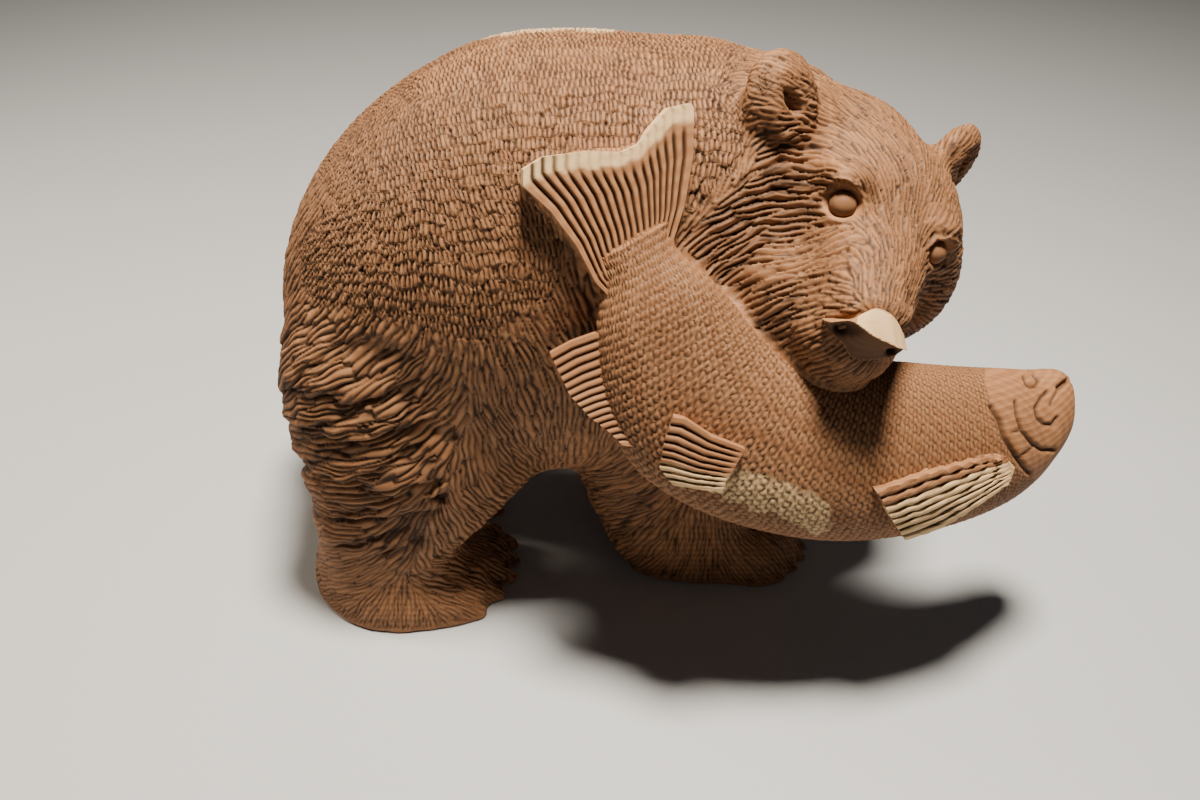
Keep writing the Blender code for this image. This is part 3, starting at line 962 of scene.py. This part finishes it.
# %% Lines on the salmon's head
GRAIN_PITCH = 1.75
HEAD_CUTS = (
    (1.9, 1.5, ((1047, 392), (1041, 399), (1036, 408), (1038, 418), (1044, 424), (1052, 425), (1057, 418))),
    (1.9, 1.9, ((1016, 402), (1017, 410), (1018, 417), (1022, 430), (1032, 443), (1042, 450), (1054, 450))),
    (2.3, 2.3, ((992, 407), (996, 414), (1001, 422), (1005, 438), (1014, 453), (1024, 467), (1030, 473))),
    (1.3, 0.9, ((1012, 433), (1020, 430))), (1.3, 0.9, ((1019, 457), (1034, 447))),
    (2.6, 3.2, ((1080, 375), (1066, 381), (1059, 387))), (1.2, 0.7, ((1059, 387), (1054, 396), (1050, 404))),
    (1.6, 1.4, ((1024, 377), (1027, 384), (1031, 387), (1036, 386), (1039, 380), (1034, 375))),
)


def line_gap(spots, line):
    best = np.full(len(spots), 1e9)
    for a, b in zip(line[:-1], line[1:]):
        a, b = np.array(a, float), np.array(b, float)
        t = np.clip((spots - a) @ (b - a) / np.sum((b - a) ** 2), 0, 1)
        best = np.minimum(best, np.linalg.norm(spots - a - t[:, None] * (b - a), axis=1))
    return best


# Painted shade in the valleys between scales and in the V-tool cuts on the head.
fish_groove_shade = scale_valley * on_body
for wide, deep, line in HEAD_CUTS:
    notch = near_side * np.exp(-(line_gap(fish_spots, line) / wide) ** 2)
    fish_height -= deep * notch
    fish_groove_shade = np.maximum(fish_groove_shade, 0.9 * notch)
set_points(salmon, fish_skin + fish_normals * (fish_height * MM)[:, None])
note(salmon, "groove_and_shade", np.clip(fish_groove_shade, 0, 1))
grain = u + 1.3 * wander(fish_points, 0.05, 9) + 0.35 * wander(fish_points, 0.012, 10)
note(salmon, "row", grain / GRAIN_PITCH)
note(salmon, "column", np.zeros(len(u)))
note(salmon, "weave", 0.42 * (1 - on_body))
print("salmon cut")

# %% [markdown]
# Fins and tail are flat plates with ribs, left standing on the block. A flat grid is slid
# into the outline of the fin, Solidify gives the plate its thickness, and the lines between
# the ribs are then pressed into both of its faces, deeper on the front, where they are also
# painted darker as shade.

# %% A helper that makes a ribbed fin
def along_line(line, share):
    line = np.array(line, float)
    run = np.concatenate(((0,), np.cumsum(np.linalg.norm(np.diff(line, axis=0), axis=1))))
    return np.array([np.interp(share * run[-1], run, line[:, k]) for k in (0, 1)]).T


def ribbed_fin(name, root, tip, edge_a, edge_b, to_place, normal,
               thick=7.0, ribs=8, deep=1.5, grid=(28, 80), plain_tip=0.0):
    bpy.ops.object.select_all(action="DESELECT")
    bpy.ops.mesh.primitive_grid_add(x_subdivisions=grid[0], y_subdivisions=grid[1], size=2.0)
    fin = bpy.context.object
    fin.name = name
    flat = points_of(fin)
    out, across = (flat[:, 0] + 1) / 2, (flat[:, 1] + 1) / 2
    base = (1 - out)[:, None] * along_line(root, across) + out[:, None] * along_line(tip, across)
    base += (1 - across)[:, None] * along_line(edge_a, out) + across[:, None] * along_line(edge_b, out)
    corner = [np.array(p, float) for p in (root[0], root[-1], tip[0], tip[-1])]
    base -= ((1 - out) * (1 - across))[:, None] * corner[0] + ((1 - out) * across)[:, None] * corner[1]
    base -= (out * (1 - across))[:, None] * corner[2] + (out * across)[:, None] * corner[3]
    set_points(fin, to_place(base[:, 0], base[:, 1]) * MM)
    note(fin, "low", points_of(fin) @ np.array(normal))
    note(fin, "out", out)
    note(fin, "across", across)
    apply(fin, "SOLIDIFY", thickness=thick * MM, offset=0.0, use_even_offset=False)
    out, across = read(fin, "out"), read(fin, "across")
    front = (points_of(fin) @ np.array(normal) > read(fin, "low")).astype(float)
    ridge = np.abs(np.mod(across * ribs + 0.10 * np.sin(across * 9 + out * 2), 1.0) - 0.5) * 2
    groove_and_shade = np.exp(-((1 - ridge) / 0.36) ** 2) * soft_step(out, 0.0, 0.15)
    groove_and_shade *= soft_step(np.minimum(across, 1 - across) * ribs, 0.2, 0.45)
    groove_and_shade *= 1 - plain_tip * soft_step(out, 0.80, 0.88) * soft_step(across, 0.10, 0.35)
    drop = deep * (groove_and_shade * front + 0.35 * groove_and_shade * (1 - front))
    turn = front * 2 - 1
    set_points(fin, points_of(fin) - np.array(normal) * (drop * turn * MM)[:, None])
    # The lines between the ribs on the front face are painted darker as shade.
    note(fin, "groove_and_shade", np.clip(groove_and_shade * 1.15, 0, 1) * front)
    face_outward(fin)
    bpy.ops.object.shade_smooth_by_angle(angle=math.radians(50))
    return fin


tail = ribbed_fin(
    "salmon_tail", ((-10, -15), (-10, 16)),
    ((58, -27), (59, -17), (53, 2), (47, 14), (47, 22), (51, 30), (55, 40), (53, 49)),
    ((-10, -15), (2, -19), (20, -20), (38, -24), (52, -30), (58, -27)),
    ((-10, 16), (4, 20), (15, 30), (33, 42), (51, 50), (53, 49)),
    on_tail, TAIL_NORMAL, thick=8.4, ribs=17, deep=1.9, grid=(46, 170), plain_tip=0.8)
print("tail:", len(tail.data.polygons), "faces")

# %% [markdown]
# The other three fins lie on the side of the fish. The anal fin is flat, and the two others
# follow the round of the flank one millimetre above it.

# %% The three fins on the salmon's near side
PELVIC_AT = (0, -84, 179)
PECTORAL_AT = (0, -77, 146)
ABOVE_FLANK = 1.0
anal_fin = ribbed_fin(
    "salmon_anal_fin", ((-30, -10), (-24, -62)),
    ((-66, -19), (-57, -38), (-48, -48), (-39, -55), (-33, -61)),
    ((-30, -10), (-46, -10), (-57, -14), (-66, -19)), ((-24, -62), (-33, -61)),
    on_flank(ANAL_AT, ABOVE_FLANK, False), FISH_OUT, ribs=15, deep=1.3, grid=(26, 120))
pelvic_fin = ribbed_fin(
    "salmon_pelvic_fin", ((20, -16), (15, -26), (11, -36)), ((-12, -1), (-15, -12), (-16, -25), (-10, -33)),
    ((20, -16), (5, -10), (-7, -2), (-12, -1)), ((11, -36), (0, -35), (-10, -33)),
    on_flank(PELVIC_AT, ABOVE_FLANK, True), FISH_OUT, ribs=9, deep=1.5, grid=(28, 80))
pectoral_fin = ribbed_fin(
    "salmon_pectoral_fin", ((149, 0), (155, -6), (153, -13)), ((83, -11), (92, -25), (104, -39)),
    ((149, 0), (135, 0), (108, -4), (83, -11)), ((153, -13), (138, -23), (120, -34), (104, -39)),
    on_flank(PECTORAL_AT, ABOVE_FLANK, True), FISH_OUT, ribs=8, deep=1.6, grid=(48, 72))
fins = [tail, anal_fin, pelvic_fin, pectoral_fin]
print("fins:", [len(f.data.polygons) for f in fins])

# %% [markdown]
# The nose is smooth, with no cuts of the coat on it, so it is a piece of its own. It is a
# ball drawn out from left to right between four rails: the rim over its front, the rear edge
# on the bridge, the inside of the block, and the low edge over the lip. The nostrils are
# pressed into its front. All places are in millimetres on the head.

# %% The nose
NOSE_SIDES = 64
NOSE_RINGS = 72
RAILS = 4
RAIL_STEPS = 8
FRONT = 3
SWELL = 2.4
NOSTRILS = ((18.5, -29.5, 4.2, 3.4, 7.0), (-6.5, -31.0, 3.0, 2.6, 5.0))
NOSE_RIM = ((27.5, 91.0, -29.1), (25.5, 94.5, -26.3), (21.9, 96.5, -24.2), (16.9, 98.0, -24.8),
            (10.8, 99.0, -26.2), (2.6, 99.5, -26.8), (-5.0, 97.4, -27.6), (-11.4, 92.6, -28.0))
NOSE_REAR = ((27.2, 88.5, -29.3), (25.0, 93.0, -25.8), (20.9, 95.2, -23.2), (17.1, 93.8, -19.6),
             (12.5, 93.8, -15.9), (4.7, 94.4, -16.5), (-4.0, 93.2, -21.6), (-10.6, 90.4, -27.1))
NOSE_LOW = ((26.0, 84.0, -31.5), (20.1, 85.0, -34.6), (13.6, 86.0, -37.2), (7.8, 87.0, -40.7),
            (1.6, 87.5, -39.8), (-4.6, 87.5, -36.8), (-10.1, 87.5, -32.9), (-12.8, 87.0, -29.0))
NOSE_IN = ((26.0, 80.0, -31.0), (20.0, 74.0, -31.0), (14.0, 72.0, -31.0), (8.0, 70.0, -31.0),
           (2.0, 70.0, -31.0), (-4.0, 72.0, -30.0), (-9.0, 76.0, -29.0), (-12.0, 83.0, -28.0))
nose = new_ball("nose", NOSE_SIDES, NOSE_RINGS)
ball = points_of(nose)
along = np.clip(np.arccos(np.clip(ball[:, 2], -1, 1)) / math.pi, 0, 1)
about = np.mod(np.arctan2(ball[:, 1], ball[:, 0]) / (2 * math.pi), 1.0) * RAILS
corners = []
for rail in (NOSE_RIM, NOSE_REAR, NOSE_IN, NOSE_LOW):
    rail = curve_through(np.array(rail), RAIL_STEPS)
    share = np.linspace(0, 1, len(rail))
    corners.append(np.array([np.interp(along, share, rail[:, k]) for k in range(3)]).T)
side_of = np.minimum(about.astype(int), RAILS - 1)
part = about - side_of
stack = np.array(corners)
rows = np.arange(len(ball))
nose_head = stack[side_of, rows] * (1 - part)[:, None]
nose_head = nose_head + stack[(side_of + 1) % RAILS, rows] * part[:, None]
centre = stack.mean(axis=0)
tip = np.clip(np.minimum(along, 1 - along) / 0.03, 0, 1)
nose_head = centre + (nose_head - centre) * np.sqrt(tip)[:, None]
front = (side_of == FRONT) * np.sin(part * math.pi)
nose_head[:, 1] -= front * SWELL
nostril = np.zeros(len(ball))
for side, top, wide, high, deep in NOSTRILS:
    away = ((nose_head[:, 0] - side) / wide) ** 2 + ((nose_head[:, 2] - top) / high) ** 2
    hole = np.exp(-away * STEEP)
    nose_head[:, 1] -= deep * hole * (side_of == FRONT)
    nostril = np.maximum(nostril, hole * (side_of == FRONT))
set_points(nose, nose_head @ HEAD_AXES * MM + np.array(HEAD_AT))
face_outward(nose)
bpy.ops.object.shade_smooth_by_angle(angle=math.radians(40))
# The front face, which faces down, and the nostrils are painted darker as shade.
note(nose, "groove_and_shade", np.clip((side_of == FRONT) * (part < 0.97) * 0.80 + nostril, 0, 1))
print("nose:", len(nose.data.polygons), "faces")

# %% [markdown]
# Each eye is a smooth ball that sits deep in its socket, so that only a round cap shows
# between the lids. It is painted a little darker as shade, as the hollows are.

# %% The eyes
EYE_SHADE = 0.42


def eye_ball(name, at, radius):
    item = new_ball(name, 48, 32)
    set_points(item, (points_of(item) * radius) @ HEAD_AXES * MM + at)
    face_outward(item)
    bpy.ops.object.shade_smooth()
    note(item, "groove_and_shade", np.full(len(item.data.vertices), EYE_SHADE))
    return item


near_eye = eye_ball("near_eye", eye_centres[0], EYES[0][1])
far_eye = eye_ball("far_eye", eye_centres[1], EYES[1][1])
print("eyes made")

# %% [markdown]
# The wood is a warm brown heartwood with a pale band of sapwood where the carving comes
# near the bark: on the nose, the edge of the tail, the lower ribs of two fins, the top of
# the back and the salmon's belly. A number at each point says how pale the wood is there.

# %% Where the pale sapwood shows
BACK_SLIVER = ((480, 33), (520, 27), (560, 24), (612, 26))
BELLY_PATCH = ((726, 481), (760, 492), (790, 503), (816, 515))


def sap_amount(points, line, reach):
    ragged = 0.30 * wander(points, 0.012, 41) + 0.16 * wander(points, 0.004, 42)
    return soft_step(1 - line_gap(picture_place(points), line) / reach + ragged, 0.0, 0.25)


note(nose, "sap", (side_of == 0) * soft_step(20.0 - nose_head[:, 0], 0, 0.8))
note(bear, "sap", sap_amount(skin, BACK_SLIVER, 6.0) * (skin[:, 2] > 0.27))
note(salmon, "sap", sap_amount(fish_skin, BELLY_PATCH, 19.0) * near_side)
for item in (near_eye, far_eye):
    note(item, "sap", np.zeros(len(item.data.vertices)))
tail_out = read(tail, "out") + 0.03 * wander(points_of(tail), 0.010, 43)
note(tail, "sap", soft_step(tail_out, 0.885, 0.915))
for item, low in ((anal_fin, 2.0), (pelvic_fin, 0.60), (pectoral_fin, 0.22)):
    share = read(item, "across") + 0.03 * wander(points_of(item), 0.010, 43)
    note(item, "sap", soft_step(share, low, low + 0.08))
print("sapwood marked")

# %% [markdown]
# A material is a net of nodes. These helpers put one node in the net, join it to what it
# works on, and hand on what comes out, so that each line below reads like a sum.

# %% Helpers for the nodes of the wood
wood = bpy.data.materials.new("carved_wood_finish")
wood.use_nodes = True
tree = wood.node_tree
shader = tree.nodes["Principled BSDF"]
shader.inputs["Roughness"].default_value = 0.60
shader.inputs["Specular IOR Level"].default_value = 0.13
where = tree.nodes.new("ShaderNodeTexCoord").outputs["Object"]


def add_node(kind, **inputs):
    node = tree.nodes.new(kind)
    for name, value in inputs.items():
        feed(node.inputs[name.replace("_", " ")], value)
    return node


def feed(socket, value):
    if isinstance(value, (tuple, float)):
        socket.default_value = value
    else:
        tree.links.new(value, socket)


def read_layer(name):
    node = tree.nodes.new("ShaderNodeAttribute")
    node.attribute_name = name
    return node.outputs["Fac"]


def blend_colour(share, first, second):
    node = tree.nodes.new("ShaderNodeMix")
    node.data_type = "RGBA"
    for place_in_node, value in ((0, share), (6, first), (7, second)):
        feed(node.inputs[place_in_node], value)
    return node.outputs[2]


def reckon(kind, first, second=0.0):
    node = tree.nodes.new("ShaderNodeMath")
    node.operation = kind
    feed(node.inputs[0], first)
    feed(node.inputs[1], second)
    return node.outputs[0]


def times(first, second):
    return reckon("MULTIPLY", first, second)


print("helpers for the wood ready")

# %% [markdown]
# Growth rings run through the whole block, so they read the place in the block. They are
# the rings of a log that lies along the bear. Patches of redder heartwood and long fine
# pores break them up, and the sapwood, the painted shade of the valleys and the cut ends are laid over them.

# %% The colour of the wood
HEART = (0.365, 0.192, 0.094, 1.0)
HEART_RED = (0.280, 0.130, 0.060, 1.0)
LATE = (0.225, 0.092, 0.038, 1.0)
SAP = (0.72, 0.50, 0.27, 1.0)
SAP_LATE = (0.58, 0.38, 0.18, 1.0)
SHADE = (0.024, 0.013, 0.008, 1.0)
LOG_AT = (0.0, -0.087, -0.130)
LOG_SCALE = (0.10, 1.0, 1.0)
PORE_SCALE = (0.12, 1.0, 1.0)
RING_SHARE = 0.55
PORE_SHARE = 0.30
GROOVE_SHADE_SHARE = 0.92
log = add_node("ShaderNodeMapping", Location=LOG_AT, Scale=LOG_SCALE, Vector=where)
rings = add_node("ShaderNodeTexWave", Scale=105.0, Distortion=1.6, Detail=3.0, Detail_Scale=1.0,
                 Vector=log.outputs["Vector"])
rings.wave_type = "RINGS"
rings.rings_direction = "X"
patch = add_node("ShaderNodeTexNoise", Scale=14.0, Detail=4.0, Vector=where)
stretch = add_node("ShaderNodeMapping", Scale=PORE_SCALE, Vector=where)
pores = add_node("ShaderNodeTexNoise", Scale=900.0, Detail=3.0, Vector=stretch.outputs["Vector"])
heart = blend_colour(patch.outputs[0], HEART_RED, HEART)
heart = blend_colour(times(rings.outputs["Fac"], RING_SHARE), heart, LATE)
sap = blend_colour(times(rings.outputs["Fac"], RING_SHARE), SAP, SAP_LATE)
colour = blend_colour(read_layer("sap"), heart, sap)
colour = blend_colour(times(pores.outputs[0], PORE_SHARE), colour, LATE)
# Valleys, rib lines, nostrils, eyes and the crevice under the salmon are painted darker toward SHADE as
# shade.
colour = blend_colour(times(read_layer("groove_and_shade"), GROOVE_SHADE_SHARE), colour, SHADE)
print("colours of the wood:", len(tree.nodes), "nodes")

# %% [markdown]
# Between the cut rows run cuts too fine for the mesh, so their shade is painted. Where the coat
# is woven, each point knows its row and column, and a line of painted shade with a small bump
# is drawn wherever one of them is near a whole step. Every other row is moved by half a
# column. On the salmon's head the same lines make the grain.

# %% Fine lines between the rows of cuts
EVEN = 100.5
COLUMN_LINE = 0.26
ROW_LINE = 0.12
ROW_LINE_SHARE = 0.5
LINE_SHARE = 0.52
LINE_MOST = 0.85


def fine_line(at, half):
    away = reckon("ABSOLUTE", reckon("SUBTRACT", reckon("FRACT", at), 0.5))
    line = tree.nodes.new("ShaderNodeMapRange")
    line.interpolation_type = "SMOOTHSTEP"
    limits = {"From Min": 0.0, "From Max": half, "To Min": 1.0, "To Max": 0.0}
    for name, value in (("Value", away), *limits.items()):
        feed(line.inputs[name], value)
    return line.outputs["Result"]


row_at, column_at = read_layer("row"), read_layer("column")
odd_row = reckon("MODULO", reckon("FLOOR", reckon("ADD", row_at, EVEN)), 2.0)
column_at = reckon("ADD", column_at, times(odd_row, 0.5))
speckle = add_node("ShaderNodeTexNoise", Scale=260.0, Detail=2.0, Vector=where)
patchy = times(speckle.outputs[0], 1.7)
row_line = times(fine_line(row_at, ROW_LINE), ROW_LINE_SHARE)
lines = reckon("MAXIMUM", fine_line(column_at, COLUMN_LINE), row_line)
lines = times(times(lines, read_layer("weave")), patchy)
# On the woven coat these lines are painted shade of the finest cuts; on the salmon's head they are its
# grain.
colour = blend_colour(reckon("MINIMUM", times(lines, LINE_SHARE), LINE_MOST), colour, SHADE)
tree.links.new(colour, shader.inputs["Base Color"])
bump = add_node("ShaderNodeBump", Strength=0.25, Distance=0.0003, Height=pores.outputs[0])
cut_bump = add_node("ShaderNodeBump", Strength=0.6, Distance=0.0006, Height=lines)
cut_bump.invert = True
tree.links.new(bump.outputs["Normal"], cut_bump.inputs["Normal"])
tree.links.new(cut_bump.outputs["Normal"], shader.inputs["Normal"])
for item in [bear, salmon, nose, near_eye, far_eye] + fins:
    item.data.materials.clear()
    item.data.materials.append(wood)
print("wood ready")

# %% [markdown]
# One skin would be too heavy as a single piece, so the bear is sawn by upright planes into
# five closed pieces that meet edge to edge. The shading is taken before the saw, so that no
# joint can be seen, just as there is none on the real block. Each sawn end is closed with
# flat faces. Where the section touches itself, the few bad points are taken out and the
# end is closed again.

# %% Saw the bear into pieces
PIECE_NAMES = ("hindquarters", "loins", "ribs", "shoulders", "head_and_forepaws")
SAW_BLADE = 1e-7
choose(bear)
bpy.ops.object.shade_smooth()
middles = np.sort(values_of(bear.data.polygons, "center", 3)[:, 0])
pieces_wanted = len(PIECE_NAMES)
planes = [float(middles[int(len(middles) * k / pieces_wanted)]) for k in range(1, pieces_wanted)]
bpy.ops.object.mode_set(mode="EDIT")
for x in planes:
    bpy.ops.mesh.select_all(action="SELECT")
    bpy.ops.mesh.bisect(plane_co=(x, 0, 0), plane_no=(1, 0, 0), threshold=SAW_BLADE)
bpy.ops.object.mode_set(mode="OBJECT")
smooth_way = normals_of(bear)
layer = bear.data.attributes.new("smooth_way", "FLOAT_VECTOR", "POINT")
layer.data.foreach_set("vector", smooth_way.astype(np.float32).ravel())
print("saw at", [round(x, 3) for x in planes])

# %% Close the sawn ends and part the pieces
MOST_MENDS = 6


def edge_use(piece):
    sides = values_of(piece.data.loops, "edge_index", kind=np.int64)
    return np.bincount(sides, minlength=len(piece.data.edges))


def close_cut():
    bpy.ops.mesh.select_mode(type="EDGE")
    bpy.ops.mesh.select_all(action="DESELECT")
    bpy.ops.mesh.select_non_manifold(
        extend=False, use_wire=False, use_boundary=True, use_multi_face=False,
        use_non_contiguous=False, use_verts=False)
    bpy.ops.mesh.fill_holes(sides=0)
    bpy.ops.mesh.select_all(action="SELECT")
    bpy.ops.mesh.quads_convert_to_tris()
    bpy.ops.object.mode_set(mode="OBJECT")


edges = [-1.0] + planes + [1.0]
bear_pieces = []
for k, name in enumerate(PIECE_NAMES):
    piece = copy_of(bear, name)
    middles = values_of(piece.data.polygons, "center", 3)[:, 0]
    choose_faces(piece, (middles < edges[k]) | (middles > edges[k + 1]))
    bpy.ops.mesh.delete(type="FACE")
    close_cut()
    for _ in range(MOST_MENDS):
        if (edge_use(piece) == 2).all():
            break
        bpy.ops.object.mode_set(mode="EDIT")
        bpy.ops.mesh.select_mode(type="VERT")
        bpy.ops.mesh.select_all(action="DESELECT")
        bpy.ops.mesh.select_non_manifold(extend=False)
        bpy.ops.mesh.delete(type="VERT")
        close_cut()
    ways = values_of(piece.data.attributes["smooth_way"].data, "vector", 3, np.float32)
    piece.data.normals_split_custom_set_from_vertices(ways.tolist())
    bear_pieces.append(piece)
    not_closed = int((edge_use(piece) != 2).sum())
    print(name, len(piece.data.polygons), "triangles, edges not closed:", not_closed)
bpy.data.objects.remove(bear)

# %% [markdown]
# The carving is one block, so every piece rides on the same root and takes the same wood,
# and the CAD node of the block is hidden.

# %% Put every piece on the root and hide the block
for item in bear_pieces + [salmon, nose, near_eye, far_eye] + fins:
    if item is salmon:
        choose(salmon)
        bpy.ops.object.shade_smooth()
    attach(item, "root")
    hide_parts("bear_with_salmon")
print("pieces:", len(bear_pieces) + 4 + len(fins))

# %% [markdown]
# The camera stands where the photographer stood, above the bear and looking down on its
# right side. One warm lamp almost overhead draws the cuts with its shadows. A weaker one
# stands low behind the left of the picture, and a faint wide one in front opens the shadows.

# %% Floor, lights and camera
FLOOR_GREY = (0.43, 0.44, 0.45, 1.0)
ROOM_GREY = (0.75, 0.78, 0.82, 1.0)
ROOM_LIGHT = 0.05
FILM_WIDTH = 36.0
bpy.ops.object.select_all(action="DESELECT")
bpy.ops.mesh.primitive_plane_add(size=6.0, location=(0, 0, 0))
ground = bpy.context.object
ground.name = "pale_floor"
paper = bpy.data.materials.new("pale_paper")
paper.use_nodes = True
paper_shader = paper.node_tree.nodes["Principled BSDF"]
paper_shader.inputs["Base Color"].default_value = FLOOR_GREY
paper_shader.inputs["Roughness"].default_value = 0.8
ground.data.materials.append(paper)


def soft_lamp(name, at, aim, size, power, tint):
    data = bpy.data.lights.new(name, "AREA")
    data.shape = "DISK"
    data.size = size
    data.energy = power
    data.color = tint
    lamp = bpy.data.objects.new(name, data)
    lamp.location = at
    lamp.rotation_euler = (Vector(aim) - Vector(at)).to_track_quat("-Z", "Y").to_euler()
    bpy.context.scene.collection.objects.link(lamp)


soft_lamp("key", at=(0.02, -0.10, 1.27), aim=(0, 0, 0.18), size=0.24, power=52,
          tint=(1.0, 0.91, 0.78))
soft_lamp("side", at=(-1.0, 0.25, 0.60), aim=(-0.1, 0, 0.15), size=0.22, power=6,
          tint=(1.0, 0.86, 0.68))
soft_lamp("fill", at=(0.4, -1.5, 0.9), aim=(0, 0, 0.15), size=0.8, power=0.6,
          tint=(1.0, 0.97, 0.93))
world = bpy.data.worlds.new("studio")
world.use_nodes = True
world.node_tree.nodes["Background"].inputs["Color"].default_value = ROOM_GREY
world.node_tree.nodes["Background"].inputs["Strength"].default_value = ROOM_LIGHT
bpy.context.scene.world = world

eye = bpy.data.cameras.new("camera")
eye.sensor_width = FILM_WIDTH
eye.lens = FILM_WIDTH * LENS / PICTURE_WIDTH
eye.dof.use_dof = False
camera = bpy.data.objects.new("camera", eye)
camera_rows = np.column_stack((LOOK_RIGHT, LOOK_UP, LOOK_BACK, LOOK_FROM)).tolist()
camera.matrix_world = Matrix(camera_rows + [(0, 0, 0, 1)])
bpy.context.scene.collection.objects.link(camera)
bpy.context.scene.camera = camera
print("camera set")
